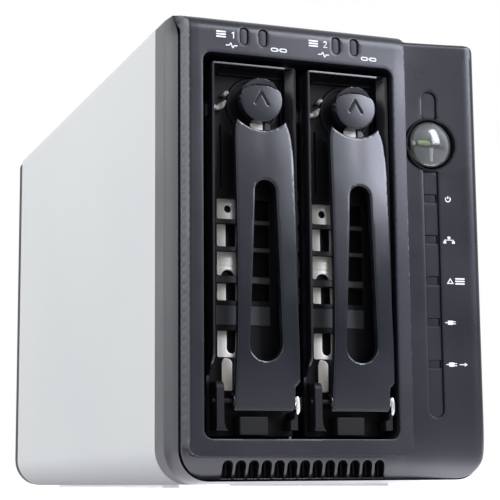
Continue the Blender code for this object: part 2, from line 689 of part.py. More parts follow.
def make_cage():
    x0, x1, x2 = CAGE_X
    z0, z1 = CAGE_Z
    outer = rounded(x0, x2 + SHEET, z0, z1, 0.5, steps=1)
    lefts = [cx - TRAY_HALF for cx in TRAY_CENTRES.values()]
    cells = [cage_cell(x0, x1, lefts[0]), cage_cell(x1, x2, lefts[1])]
    part("drive_cage", STEEL, slab("Y", *CAGE_Y, outer, *cells))
    part("backplane_board", BOARD,
         block(x0 + 2, x2 - 2, BACKPLANE_Y, BACKPLANE_Y + BOARD_THICKNESS, 20, 134))
    for side, cx in TRAY_CENTRES.items():
        right = cx + DRIVE_SIZE[0] / 2
        low, high = DRIVE_BOTTOM + 19, DRIVE_BOTTOM + 56
        front = DRIVE_FRONT + DRIVE_SIZE[1] + 0.4
        part(f"drive_socket_{side}", GLOSS,
             block(right - 6.4, right - 2.0, front, BACKPLANE_Y - GAP, low, high))


def make_electronics():
    chips = [block(103.0, 105.5, y, y + s, z, z + s) for y, z, s in
             ((60, 78, 12), (60, 96, 12), (80, 40, 14), (150, 80, 10), (170, 105, 12), (150, 52, 12))]
    cans = [rod("X", 96.0, 105.5, y, z, 4.0, 14) for y, z in ((200, 118), (190, 118), (60, 122), (72, 122))]
    board = block(105.0, 105.0 + BOARD_THICKNESS, 30.0, 232.0, 14.0, 138.0)
    part("main_board", BOARD, board, join=[group(chips), group(cans)])
    fins = [block(95.0, 102.9, 100 + 4 * i, 101.2 + 4 * i, 70, 100) for i in range(9)]
    part("heat_sink", ALLOY, block(102.0, 104.4, 99, 134.4, 70, 100), join=[group(fins)])


# Heights of the ports, and half sizes of their openings in the rear panel
PORTS = {"dc_jack": 26.0, "usb_port": 46.0, "esata_port": 66.0, "network_port": 90.0, "reset": 108.0}
OPENINGS = {
    "dc_jack": (4.4, 5.2),
    "usb_port": (3.6, 7.0),
    "esata_port": (3.9, 8.4),
    "network_port": (7.2, 8.4),
}
FAN_OPENING = 33.0
FAN_SCREW_OFFSET = 30.75
LOW_VENTS = 8


def make_rear():
    fan_x, fan_z = FAN[:2]
    y0, y1 = PANEL_REAR
    signs = [(sx, sz) for sx in (-1, 1) for sz in (-1, 1)]
    corners = [(fan_x + sx * FAN_SCREW_OFFSET, fan_z + sz * FAN_SCREW_OFFSET) for sx, sz in signs]
    cuts = [circle(fan_x, fan_z, FAN_OPENING, 40)]
    cuts += [circle(x, z, 2.0, 10) for x, z in corners]
    for name, (across, up) in OPENINGS.items():
        z = PORTS[name]
        cuts.append(rounded(PORT_X - across, PORT_X + across, z - up, z + up, 0.4, steps=1))
    cuts.append(circle(PORT_X, PORTS["reset"], 1.8, 12))
    cuts += [stadium(16.0 + 7.0 * i, 35.0, 3.0, 22.0, 3) for i in range(LOW_VENTS)]
    part("rear_panel", STEEL, slab("Y", y0, y1, casing_outline(REAR_WALL + GAP), *cuts))
    for i, (x, z) in enumerate(((9, 10), (101, 10)), 1):
        part(f"panel_screw_{i}", STEEL, rod("Y", y1 + GAP, y1 + 2.0, x, z, 2.8, 12))
    make_fan(corners)
    make_fan_guard(corners)
    make_ports()


def fan_blade(x, z, start, rear):
    """One twisted blade from the hub to the tip."""
    loops = []
    for r, twist in ((11.0, 0.20), (31.6, 0.34)):
        thick = 1.5 / r
        sections = [(rear - 1.4, -twist), (rear - 10.4, twist), (rear - 10.4, twist + thick),
                    (rear - 1.4, -twist + thick)]
        loops.append([(x + r * math.cos(start + a), y, z + r * math.sin(start + a)) for y, a in sections])
    return loft(loops)


def make_fan(corners):
    x, z, size, depth = FAN
    y1 = PANEL_REAR[0] - GAP
    y0 = y1 - depth
    half = size / 2
    struts = [block(x - 34, x + 34, y0, y0 + 2.0, z - 1.6, z + 1.6),
              block(x - 1.6, x + 1.6, y0, y0 + 2.0, z - 34, z + 34),
              rod("Y", y0, y0 + 2.6, x, z, 12, 20)]
    frame = slab("Y", y0, y1, rounded(x - half, x + half, z - half, z + half, 4.0, steps=3),
                 circle(x, z, 33.4, 40), *[circle(u, v, 2.0, 10) for u, v in corners])
    part("fan_frame", BLACK, frame, join=struts)
    centre = (x, y0 + 8, z)
    pivot = pivot_empty("fan_axis", centre)
    blades = [fan_blade(x, z, 2 * math.pi * i / 7, y1) for i in range(7)]
    part("fan_rotor", BLACK, rod("Y", y0 + 3.2, y1 - 0.8, x, z, 12.5, 28), join=[group(blades)],
         pivot=centre, parent=pivot)


def make_fan_guard(corners):
    x, z = FAN[:2]
    rear = PANEL_REAR[1]
    plane = rear + 0.9
    turns = [2 * math.pi * i / 24 for i in range(24)]
    rings = [wire([(x + r * math.cos(a), plane, z + r * math.sin(a)) for a in turns], 0.6, 0, True)
             for r in (13.0, 22.5, 32.0)]
    spokes = [block(x - 31.9, x + 31.9, plane + 0.2, plane + 1.0, z - 0.5, z + 0.5),
              block(x - 0.5, x + 0.5, plane + 0.2, plane + 1.0, z - 31.9, z + 31.9)]
    part("fan_guard", STEEL, rings[0], join=[*rings[1:], *spokes])
    shank_front = PANEL_REAR[0] - GAP - 8
    for i, (u, v) in enumerate(corners, 1):
        part(f"fan_screw_{i}", STEEL, rod("Y", rear + GAP, rear + 2.0, u, v, 3.0, 12),
             join=[rod("Y", shank_front, rear + 0.8, u, v, 1.5, 10)])


def socket_cutters(mouth, tongue, front, depth):
    """What a socket's mouth takes away, leaving a tongue that starts 1.5 mm inside."""
    x0, x1, z0, z1 = mouth
    outer, inner = (rounded(*limits, 0.2, steps=1) for limits in (mouth, tongue))
    return [slab("Y", front - depth, front - 1.4, outer, inner),
            block(x0, x1, front - 1.5, front + 1, z0, z1)]


def make_ports():
    y1 = PANEL_REAR[1] + 0.8
    x = PORT_X
    z = PORTS["dc_jack"]
    part("dc_jack", GLOSS, block(x - 4.1, x + 4.1, y1 - 13, y1, z - 4.9, z + 4.9),
         cut=[rod("Y", y1 - 9, y1 + 1, x, z, 3.1, 20)])
    z = PORTS["usb_port"]
    part("usb_port", STEEL, block(x - 3.3, x + 3.3, y1 - 14, y1, z - 6.7, z + 6.7),
         cut=socket_cutters((x - 2.7, x + 2.7, z - 6.1, z + 6.1), (x + 0.6, x + 2.2, z - 5.4, z + 5.4),
                            y1, 12.5))
    z = PORTS["esata_port"]
    part("esata_port", STEEL, block(x - 3.6, x + 3.6, y1 - 12, y1, z - 8.1, z + 8.1),
         cut=socket_cutters((x - 2.6, x + 2.6, z - 6.6, z + 6.6), (x + 0.9, x + 2.1, z - 5.2, z + 5.2),
                            y1, 8.0))
    z = PORTS["network_port"]
    part("network_port", STEEL, block(x - 6.9, x + 6.9, y1 - 16, y1, z - 8.1, z + 8.1),
         cut=[block(x - 5.6, x + 2.8, y1 - 13, y1 + 1, z - 5.9, z + 5.9),
              block(x + 2.4, x + 5.0, y1 - 13, y1 + 1, z - 3.0, z + 3.0)])
    z = PORTS["reset"]
    pivot = pivot_empty("reset_button_axis", (x, y1, z))
    part("reset_button", BLACK, rod("Y", y1 - 5, y1 - 0.4, x, z, 1.4, 12), pivot=(x, y1, z), parent=pivot)


def main():
    clear_scene()
    make_casing()
    make_bezel()
    make_front_lights()
    make_power_button()
    make_front_board()
    for side, cx in TRAY_CENTRES.items():
        make_tray(side, cx)
    make_cage()
    make_electronics()
    make_rear()


main()
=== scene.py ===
"""Looks of a two-bay network attached storage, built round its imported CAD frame.

Sizes are in millimetres from the left, front, bottom corner of the CAD box: x to the right,
y to the rear, z up. at() turns them into the frame's metres.
"""

import math

import bmesh
import bpy
import numpy as np
from mathutils import Matrix, Vector
from mathutils.geometry import delaunay_2d_cdt


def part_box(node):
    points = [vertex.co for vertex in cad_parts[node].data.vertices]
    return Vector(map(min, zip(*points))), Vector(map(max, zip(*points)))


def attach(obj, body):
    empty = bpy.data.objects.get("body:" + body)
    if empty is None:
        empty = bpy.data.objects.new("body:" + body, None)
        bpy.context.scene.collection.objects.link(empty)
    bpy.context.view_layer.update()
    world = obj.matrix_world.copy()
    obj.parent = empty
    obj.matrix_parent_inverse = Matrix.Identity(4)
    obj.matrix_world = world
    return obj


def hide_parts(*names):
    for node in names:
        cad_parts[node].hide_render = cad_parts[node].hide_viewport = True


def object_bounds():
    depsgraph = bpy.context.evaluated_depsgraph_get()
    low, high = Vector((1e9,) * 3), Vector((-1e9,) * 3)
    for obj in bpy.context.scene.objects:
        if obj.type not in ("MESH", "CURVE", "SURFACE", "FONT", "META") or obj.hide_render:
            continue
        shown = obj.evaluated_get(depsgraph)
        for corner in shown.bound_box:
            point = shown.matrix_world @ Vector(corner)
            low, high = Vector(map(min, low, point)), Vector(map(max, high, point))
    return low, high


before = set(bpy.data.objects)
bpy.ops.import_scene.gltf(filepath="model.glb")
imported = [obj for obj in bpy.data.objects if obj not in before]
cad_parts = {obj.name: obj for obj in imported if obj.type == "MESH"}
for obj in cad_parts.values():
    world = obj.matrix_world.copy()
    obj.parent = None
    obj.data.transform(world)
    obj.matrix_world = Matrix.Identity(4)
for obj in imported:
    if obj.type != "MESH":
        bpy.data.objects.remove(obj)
CAD_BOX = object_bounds()

MM = 0.001
CORNER = CAD_BOX[0]
WIDTH, DEPTH, HEIGHT = ((high - low) / MM for low, high in zip(*CAD_BOX))

# Camera, found from the object's edges in perspective
CAMERA_PLACE = (-136.4, -431.0, 2.0)
CAMERA_YAW = 20.57
CAMERA_PITCH = 8.953
CAMERA_ROLL = -0.48
SENSOR = 36.0
LENS = 105.69


def at(x, y, z):
    """A place in the row frame, in metres."""
    return CORNER + Vector((x, y, z)) * MM


def extent(node):
    """x0, x1, y0, y1, z0, z1 of a CAD node in millimetres."""
    low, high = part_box(node)
    low, high = (low - CORNER) / MM, (high - CORNER) / MM
    return low.x, high.x, low.y, high.y, low.z, high.z


def middle(node):
    x0, x1, y0, y1, z0, z1 = extent(node)
    return (x0 + x1) / 2, (y0 + y1) / 2, (z0 + z1) / 2


# ---------------------------------------------------------------- materials

class Nodes:
    """A short way to write a shader graph: add() makes a node and gives its first output."""

    def __init__(self, owner):
        """Writes in a world, or in a new material of a given name."""
        if isinstance(owner, str):
            owner = self.material = bpy.data.materials.new(owner)
            owner.use_nodes = True
            self.shader = owner.node_tree.nodes["Principled BSDF"]
        self.tree = owner.node_tree
        self.place = self.add("TexCoord").node.outputs["Object"]

    def add(self, kind, inputs=None, **settings):
        node = self.tree.nodes.new(f"ShaderNode{kind}")
        for key, value in settings.items():
            setattr(node, key, value)
        for key, value in (inputs or {}).items():
            if isinstance(value, bpy.types.NodeSocket):
                self.tree.links.new(value, node.inputs[key])
            else:
                node.inputs[key].default_value = value
        return node.outputs[0]

    def math(self, operation, first, second=0.0):
        return self.add("Math", {0: first, 1: second}, operation=operation)

    def noise(self, scale, detail=2.0, stretch=None):
        place = self.place
        if stretch:
            place = self.add("Mapping", {"Vector": place, "Scale": stretch})
        return self.add("TexNoise", {"Vector": place, "Scale": scale, "Detail": detail})

    def ramp(self, factor, low, high, from_low=0.35, from_high=0.65):
        """low to high as the factor goes from from_low to from_high, where noise mostly lies."""
        return self.add("MapRange", {"Value": factor, "From Min": from_low, "From Max": from_high,
                                     "To Min": low, "To Max": high})

    def blend(self, factor, first, second):
        colours = {0: factor, 6: (*first, 1.0), 7: (*second, 1.0)}
        return self.add("Mix", colours, data_type="RGBA").node.outputs[2]

    def feed(self, **links):
        for key, socket in links.items():
            self.tree.links.new(socket, self.shader.inputs[key.replace("_", " ")])

    def bump(self, height, strength, distance):
        inputs = {"Height": height, "Strength": strength, "Distance": distance}
        self.feed(Normal=self.add("Bump", inputs))

    def fixed(self, **values):
        for key, value in values.items():
            self.shader.inputs[key.replace("_", " ")].default_value = value
        return self.material


def shade(colour, share):
    return tuple(c * share for c in colour)


def moulded(name, colour, roughness, texture=1400, depth=0.00003, gloss=0.5):
    """Moulded plastic: fine spark-eroded texture, faint flow marks and uneven gloss."""
    g = Nodes(name)
    flow = g.noise(14, 3)
    grain = g.noise(texture, 1)
    g.feed(Base_Color=g.blend(flow, shade(colour, 0.86), shade(colour, 1.16)),
           Roughness=g.ramp(g.noise(45, 3), roughness - 0.035, roughness + 0.035))
    g.bump(grain, 0.35, depth)
    return g.fixed(Specular_IOR_Level=gloss)


def metal(name, colour, roughness, scale=260, stretch=(1, 1, 1), depth=0.00002, metallic=1.0):
    """Sheet or cast metal: clouded colour, uneven polish and fine marks along one direction."""
    g = Nodes(name)
    marks = g.noise(scale, 4, stretch)
    g.feed(Base_Color=g.blend(g.noise(30, 4), shade(colour, 0.82), shade(colour, 1.08)),
           Roughness=g.ramp(marks, roughness - 0.08, roughness + 0.1))
    g.bump(marks, 0.3, depth)
    return g.fixed(Metallic=metallic)


def silver_paint():
    """Pearl silver lacquer: tiny flakes under a thin clear coat."""
    g = Nodes("silver_coating")
    flakes = g.add("TexVoronoi", {"Vector": g.place, "Scale": 2600.0})
    cloud = g.ramp(g.noise(7, 2), 0.0, 1.0)
    g.feed(Base_Color=g.blend(cloud, (0.410, 0.419, 0.421), (0.430, 0.438, 0.436)),
           Roughness=g.ramp(flakes, 0.40, 0.50, 0.0, 1.0))
    g.bump(g.noise(900, 2), 0.12, 0.00002)
    return g.fixed(Metallic=0.35, Coat_Weight=0.25, Coat_Roughness=0.2)


def galvanised():
    """Zinc-coated sheet with its pattern of crystals."""
    g = Nodes("galvanised_steel")
    crystals = g.add("TexVoronoi", {"Vector": g.place, "Scale": 190.0})
    tone = g.ramp(crystals, 0.0, 1.0, 0.0, 0.9)
    g.feed(Base_Color=g.blend(tone, (0.40, 0.41, 0.42), (0.47, 0.48, 0.48)),
           Roughness=g.ramp(crystals, 0.36, 0.44, 0.0, 1.0))
    g.bump(g.noise(700, 3), 0.1, 0.00002)
    return g.fixed(Metallic=1.0)


def laminate():
    """Green solder mask over a weave of copper tracks."""
    g = Nodes("circuit_board")
    place = g.add("Mapping", {"Vector": g.place, "Rotation": (0.0, math.pi / 2, 0.0)})
    tracks = g.add("TexBrick", {"Vector": place, "Color1": (0.0, 0.0, 0.0, 1.0),
                                "Color2": (0.25, 0.25, 0.25, 1.0), "Mortar": (1.0, 1.0, 1.0, 1.0),
                                "Scale": 120.0, "Mortar Size": 0.035})
    g.feed(Base_Color=g.blend(tracks, (0.012, 0.095, 0.035), (0.03, 0.2, 0.075)),
           Roughness=g.ramp(g.noise(80, 2), 0.32, 0.42))
    g.bump(tracks, 0.4, 0.00004)
    return g.fixed(Coat_Weight=0.3)


def clear(name, colour, roughness=0.03, weight=1.0, ior=1.49):
    """Clear moulded plastic with very slight waviness."""
    g = Nodes(name)
    wave = g.noise(160, 2)
    g.feed(Base_Color=g.blend(wave, shade(colour, 0.97), colour),
           Roughness=g.ramp(g.noise(300, 2), roughness, roughness + 0.03))
    g.bump(wave, 0.05, 0.00003)
    return g.fixed(Transmission_Weight=weight, IOR=ior)


def glowing(name, colour, light, strength):
    """A translucent piece that glows, brighter in places: a lamp's light pipe, or painted light on a
    piece that is no lamp.
    """
    g = Nodes(name)
    cloud = g.noise(220, 2)
    g.feed(Base_Color=g.blend(cloud, shade(colour, 0.8), colour),
           Emission_Color=g.blend(cloud, shade(light, 0.6), light))
    return g.fixed(Emission_Strength=strength, Roughness=0.3, Subsurface_Weight=0.2,
                   Subsurface_Scale=0.002)


def printed():
    """White print, slightly uneven like screen ink."""
    g = Nodes("white_print")
    g.feed(Base_Color=g.blend(g.noise(900, 3), (0.78, 0.79, 0.8), (0.92, 0.93, 0.93)))
    return g.fixed(Roughness=0.55)


LOOKS = {
    "silver": silver_paint(),
    "black": moulded("black_plastic", (0.011, 0.0112, 0.017), 0.30, gloss=0.42),
    "frame": moulded("black_frame", (0.013, 0.013, 0.017), 0.34),
    "gloss": moulded("handle_plastic", (0.008, 0.009, 0.014), 0.20, depth=0.000008),
    "tray": moulded("tray_plastic", (0.010, 0.010, 0.014), 0.26),
    "pill": moulded("smoked_lens_matt", (0.045, 0.045, 0.048), 0.5, gloss=0.25),
    "window": moulded("smoked_window", (0.010, 0.010, 0.012), 0.35, gloss=0.3),
    "dim": moulded("tray_inner_plastic", (0.008, 0.008, 0.009), 0.5, gloss=0.18),
    # Dark grey, about three times lighter than the tray's black: painted light on the rungs, which
    # catch light through the windows.
    "rung": moulded("rung_plastic_painted_light", (0.030, 0.032, 0.035), 0.5, gloss=0.3),
    "leaf": metal("leaf_spring_steel", (0.30, 0.28, 0.25), 0.45, 900, (1, 1, 3), 0.000006, 0.3),
    "dome": clear("dome_plastic", (0.84, 0.87, 0.85), 0.09, 0.97),
    # Near-void black, far darker than the other plastics: painted shade for parts that sit in shade and
    # for dark sheets put where shade falls. The dark strips on the shell's top corners use it too.
    "dark": moulded("near_black_painted_shade", (0.002, 0.002, 0.003), 0.55, gloss=0.15),
    # The feet glow faintly: painted light that lifts the shade under the casing off them.
    "foot": glowing("pale_rubber_painted_glow", (0.80, 0.80, 0.81), (1.0, 1.0, 1.0), 0.55),
    "fan": moulded("fan_plastic", (0.016, 0.016, 0.018), 0.42),
    "steel": galvanised(),
    "screw": metal("screw_steel", (0.60, 0.60, 0.60), 0.26, 500),
    "spring": metal("spring_wire", (0.85, 0.85, 0.84), 0.18, 800),
    "bracket": metal("bright_bracket", (0.92, 0.87, 0.79), 0.38, 900, (1, 1, 5), 0.000006, 0.12),
    "alloy": metal("cast_aluminium", (0.56, 0.57, 0.58), 0.42, 420, (1, 1, 1), 0.00005),
    "board": laminate(),
    "clear": clear("clear_plastic", (0.96, 0.98, 0.96)),
    "polished": metal("polished_steel", (0.92, 0.91, 0.88), 0.2, 200, (1, 1, 1), 0.000001, 0.7),
    "green": glowing("green_core", (0.33, 0.42, 0.20), (0.50, 0.75, 0.22), 0.16),
    # These two quarters of the dish glow though they are no lamp: a painted highlight on the upper
    # right quarter and painted green light on the lower left one.
    "facet": glowing("pale_facet_painted_highlight", (0.42, 0.42, 0.43), (0.60, 0.60, 0.63), 0.22),
    "glow": glowing("green_facet_painted_light", (0.30, 0.36, 0.20), (0.55, 0.70, 0.30), 0.22),
    # Faintly glowing pale strips: painted highlights inside the dome.
    "milky": glowing("milky_painted_highlight", (0.52, 0.56, 0.50), (0.8, 0.85, 0.75), 0.06),
    "reflector": moulded("dish_plastic", (0.05, 0.05, 0.055), 0.6, 300, 0.00001, gloss=0.3),
    "print": printed(),
}

# The record's slot of each look; the others are black_plastic
SLOTS = {
    "silver": "silver_coating", "gloss": "gloss_black", "print": "",
    **dict.fromkeys(("pill", "window"), "smoked_lens"),
    **dict.fromkeys(("dome", "clear"), "clear_plastic"),
    **dict.fromkeys(("bracket", "leaf"), "bright_bracket"),
    **dict.fromkeys(("spring", "polished"), "galvanised_steel"),
    **dict.fromkeys(("green", "facet", "glow", "milky", "reflector"), "green_core"),
}


# ---------------------------------------------------------------- meshes

MERGE_DISTANCE = 1e-7
WELD_DISTANCE = 2e-6
EDGE_ANGLE = 35
SHARP_ANGLE = 38

def finished(bm):
    """The mesh of a bmesh, welded and with its faces turned outwards."""
    bmesh.ops.remove_doubles(bm, verts=bm.verts, dist=MERGE_DISTANCE)
    bmesh.ops.recalc_face_normals(bm, faces=bm.faces)
    mesh = bpy.data.meshes.new("shape")
    bm.to_mesh(mesh)
    bm.free()
    return mesh


def group(meshes):
    """One mesh of several."""
    bm = bmesh.new()
    for mesh in meshes:
        bm.from_mesh(mesh)
        bpy.data.meshes.remove(mesh)
    return finished(bm)


def block(x0, x1, y0, y1, z0, z1):
    bm = bmesh.new()
    bmesh.ops.create_cube(bm, size=1.0)
    for vert in bm.verts:
        share = vert.co + Vector((0.5, 0.5, 0.5))
        vert.co = at(x0 + share.x * (x1 - x0), y0 + share.y * (y1 - y0), z0 + share.z * (z1 - z0))
    return finished(bm)


def arc(cx, cy, radius, start, end, steps):
    return [(cx + radius * math.cos(math.radians(start + (end - start) * i / steps)),
             cy + radius * math.sin(math.radians(start + (end - start) * i / steps)))
            for i in range(steps + 1)]


def moved(points, x, z=0.0):
    return [(x + u, z + v) for u, v in points]


def circle(cx, cy, radius, steps=48):
    return arc(cx, cy, radius, 0, 360, steps)[:-1]


def rounded(x0, x1, z0, z1, bottom, top=None, steps=8, top_right=None):
    """A rectangle with round corners, by the radius of its lower and its upper ones."""
    top = bottom if top is None else top
    right = top if top_right is None else top_right
    return (arc(x0 + bottom, z0 + bottom, bottom, 180, 270, steps)
            + arc(x1 - bottom, z0 + bottom, bottom, 270, 360, steps)
            + arc(x1 - right, z1 - right, right, 0, 90, steps)
            + arc(x0 + top, z1 - top, top, 90, 180, steps))


def stadium(cx, cz, width, height, steps=10):
    radius = width / 2
    away = height / 2 - radius
    return arc(cx, cz + away, radius, 0, 180, steps) + arc(cx, cz - away, radius, 180, 360, steps)


def spline(points, steps=6):
    """A smooth curve through the points."""
    ends = [points[0], *points, points[-1]]
    curve = []
    for i in range(1, len(ends) - 2):
        p0, p1, p2, p3 = (np.array(ends[i + k], float) for k in (-1, 0, 1, 2))
        for t in np.arange(steps) / steps:
            curve.append(tuple(0.5 * (2 * p1 + (p2 - p0) * t + (2 * p0 - 5 * p1 + 4 * p2 - p3) * t ** 2
                                      + (3 * p1 - p0 - 3 * p2 + p3) * t ** 3)))
    return [*curve, tuple(points[-1])]


def even(loop, pitch):
    """The loop with its long sides divided."""
    dense = []
    for (x0, z0), (x1, z1) in zip(loop, [*loop[1:], loop[0]]):
        count = max(1, int(math.hypot(x1 - x0, z1 - z0) / pitch))
        dense += [(x0 + (x1 - x0) * i / count, z0 + (z1 - z0) * i / count) for i in range(count)]
    return dense


def area(loop):
    return sum(a[0] * b[1] - b[0] * a[1] for a, b in zip(loop, [*loop[1:], loop[0]])) / 2


def wound(outer, holes):
    """The outline turned to the left and its holes to the right."""
    return [outer if area(outer) > 0 else outer[::-1]] + [h if area(h) < 0 else h[::-1] for h in holes]


def inside(points, loop):
    """Which of the points lie in the closed loop."""
    a = np.array(loop, float)
    b = np.roll(a, -1, axis=0)
    x, z = points[:, :1], points[:, 1:]
    with np.errstate(divide="ignore", invalid="ignore"):
        cross = (b[:, 0] - a[:, 0]) * (z - a[:, 1]) / (b[:, 1] - a[:, 1]) + a[:, 0]
    hits = ((a[:, 1] > z) != (b[:, 1] > z)) & (x < cross)
    return hits.sum(axis=1) % 2 == 1


def reach(points, loops):
    """Distance from each point to the nearest side of the loops."""
    best = np.full(len(points), 1e9)
    for loop in loops:
        a = np.array(loop, float)
        side = np.roll(a, -1, axis=0) - a
        length = np.maximum((side ** 2).sum(axis=1), 1e-12)
        for start in range(0, len(points), 4000):
            p = points[start:start + 4000, None, :] - a
            t = np.clip((p * side).sum(axis=2) / length, 0, 1)
            gap = np.sqrt(((p - t[..., None] * side) ** 2).sum(axis=2)).min(axis=1)
            best[start:start + 4000] = np.minimum(best[start:start + 4000], gap)
    return best


def shifted(loop, distance):
    """The loop moved to its left by a distance."""
    p = np.array(loop, float)
    side = np.roll(p, -1, axis=0) - np.roll(p, 1, axis=0)
    side /= np.maximum(np.linalg.norm(side, axis=1, keepdims=True), 1e-9)
    return p + distance * np.stack([-side[:, 1], side[:, 0]], axis=1)


def triangulated(loops, inner):
    """Points and triangles that fill the first loop round the others, and each loop's points."""
    points, edges, starts = [], [], []
    for loop in loops:
        starts.append(len(points))
        edges += [(starts[-1] + i, starts[-1] + (i + 1) % len(loop)) for i in range(len(loop))]
        points += [Vector(p) for p in loop]
    points += [Vector(p) for p in inner]
    verts, _, faces, source, _, _ = delaunay_2d_cdt(points, edges, [], 0, 1e-5)
    now = {old: new for new, olds in enumerate(source) for old in olds}
    flat = np.array([tuple(v) for v in verts])
    middles = flat[np.array(faces)].mean(axis=1)
    keep = inside(middles, loops[0])
    for hole in loops[1:]:
        keep &= ~inside(middles, hole)
    rims = [[now[start + i] for i in range(len(loop))] for start, loop in zip(starts, loops)]
    return flat, [f for f, kept in zip(faces, keep) if kept], rims


FILLET_STEPS = (0.05, 0.18, 0.38, 0.65, 1.0)


def relief(outer, holes, front, back, pitch=1.5, fillet=0.4, extra=()):
    """A plate whose face follows front(x, z), with rounded edges and walls back to back(x, z)."""
    loops = [even(loop, max(pitch, 0.6)) for loop in wound(outer, holes)]
    low, high = np.min(loops[0], axis=0), np.max(loops[0], axis=0)
    columns, rows = np.arange(low[0], high[0], pitch), np.arange(low[1], high[1], pitch)
    grid = np.array([(x, z) for z in rows for x in columns])
    if len(extra):
        grid = np.concatenate([grid, np.array(extra, float)])
    keep = inside(grid, loops[0]) & (reach(grid, loops) > fillet + 0.3 * pitch)
    for hole in loops[1:]:
        keep &= ~inside(grid, hole)
    inner = [grid[keep]]
    for step in FILLET_STEPS:
        row = np.concatenate([shifted(loop, fillet * step) for loop in loops])
        inner.append(row[reach(row, loops) > 0.93 * fillet * step])
    flat, faces, rims = triangulated(loops, np.concatenate(inner))
    gap = np.clip(fillet - reach(flat, loops), 0, fillet)
    drop = fillet - np.sqrt(np.maximum(fillet ** 2 - gap ** 2, 0))
    bm = bmesh.new()

    def sheet(points, ys):
        return [bm.verts.new(at(u, y, v)) for (u, v), y in zip(points, ys)]

    face = sheet(flat, front(flat[:, 0], flat[:, 1]) + drop)
    for a, b, c in faces:
        bm.faces.new((face[a], face[b], face[c]))
    rear_flat, rear_faces, rear_rims = triangulated(loops, [])
    rear = sheet(rear_flat, back(rear_flat[:, 0], rear_flat[:, 1]) + 0 * rear_flat[:, 0])
    for a, b, c in rear_faces:
        bm.faces.new((rear[a], rear[c], rear[b]))
    walls(bm, rims, face, rear, rear_rims)
    return finished(bm)


def walls(bm, rims, front, rear, rear_rims=None):
    """The sides between a front and a rear sheet of points."""
    for rim, other in zip(rims, rear_rims or rims):
        for i in range(len(rim)):
            j = (i + 1) % len(rim)
            bm.faces.new((front[rim[i]], front[rim[j]], rear[other[j]], rear[other[i]]))


def level(y):
    """A flat face at one y, for relief()."""
    return lambda u, v: y + 0 * u


def slab(axis, low, high, outer, *holes):
    """A flat outline with holes, extruded along an axis from low to high."""
    flat, faces, rims = triangulated(wound(outer, holes), [])
    bm = bmesh.new()
    sides = []
    for w in (low, high):
        place = {"X": lambda u, v: at(w, u, v), "Y": lambda u, v: at(u, w, v),
                 "Z": lambda u, v: at(u, v, w)}[axis]
        verts = [bm.verts.new(place(u, v)) for u, v in flat]
        for f in faces:
            bm.faces.new([verts[i] for i in (f if w == low else f[::-1])])
        sides.append(verts)
    walls(bm, rims, *sides)
    bmesh.ops.dissolve_limit(bm, angle_limit=0.001, verts=bm.verts, edges=bm.edges)
    return finished(bm)


def loft(loops, caps=True):
    bm = bmesh.new()
    rings = [[bm.verts.new(at(*point)) for point in loop] for loop in loops]
    for lower, upper in zip(rings, rings[1:]):
        for i, vert in enumerate(lower):
            j = (i + 1) % len(lower)
            bm.faces.new((vert, lower[j], upper[j], upper[i]))
    if caps:
        bm.faces.new(rings[0])
        bm.faces.new(rings[-1])
    return finished(bm)


def turned(profile, x, z, steps=64, caps=True):
    """A turned solid about an axis along y: (radius, y) from the front to the rear."""
    return loft([[(x + r * math.cos(a), y, z + r * math.sin(a))
                  for a in (2 * math.pi * i / steps for i in range(steps))] for r, y in profile], caps)


def tube(points, radius, sides):
    """A round wire along (x, y, z) points, its section turned with the path."""
    path = [Vector(p) for p in points]
    rings = []
    side = None
    for behind, p, ahead in zip([path[0], *path], path, [*path[1:], path[-1]]):
        way = (ahead - behind).normalized()
        if side is None:
            side = way.orthogonal().normalized()
        side = (side - way * side.dot(way)).normalized()
        other = way.cross(side)
        rings.append([p + radius * (math.cos(a) * side + math.sin(a) * other)
                      for a in (2 * math.pi * k / sides for k in range(sides))])
    return loft(rings)


def bevelled(obj, width):
    edges = obj.modifiers.new("edges", "BEVEL")
    edges.width = width * MM
    edges.segments = 2
    edges.limit_method = "ANGLE"
    edges.angle_limit = math.radians(EDGE_ANGLE)
    edges.miter_outer = "MITER_ARC"
    obj.modifiers.new("normals", "WEIGHTED_NORMAL").keep_sharp = True


def piece(name, look, mesh, body, replaces=(), slot=None, bevel=0.0, sharp=SHARP_ANGLE):
    """A named piece that rides on a body, takes a look and stands for CAD nodes; its slot is worked out
    but not kept.
    """
    mesh.name = name
    mesh.materials.clear()
    mesh.materials.append(LOOKS[look])
    mesh.shade_smooth()
    mesh.set_sharp_from_angle(angle=math.radians(sharp))
    obj = bpy.data.objects.new(name, mesh)
    bpy.context.scene.collection.objects.link(obj)
    if bevel:
        bevelled(obj, bevel)
    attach(obj, body)
    if replaces:
        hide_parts(*replaces)
    slot = slot or SLOTS.get(look, "black_plastic")


def smoothing():
    """A node group that shades smooth, apart from edges over EDGE_ANGLE."""
    tree = bpy.data.node_groups.new("smooth_by_angle", "GeometryNodeTree")
    for way in ("INPUT", "OUTPUT"):
        tree.interface.new_socket("Geometry", in_out=way, socket_type="NodeSocketGeometry")
    start, end, angle, small, edges, faces = (tree.nodes.new(kind) for kind in (
        "NodeGroupInput", "NodeGroupOutput", "GeometryNodeInputMeshEdgeAngle", "FunctionNodeCompare",
        "GeometryNodeSetShadeSmooth", "GeometryNodeSetShadeSmooth"))
    small.operation = "LESS_THAN"
    small.inputs[1].default_value = math.radians(EDGE_ANGLE)
    edges.domain = "EDGE"
    for source, node, socket in ((start, edges, 0), (angle, small, 0), (small, edges, "Shade Smooth"),
                                 (edges, faces, 0), (faces, end, 0)):
        tree.links.new(source.outputs[0], node.inputs[socket])
    return tree


SMOOTHING = smoothing()


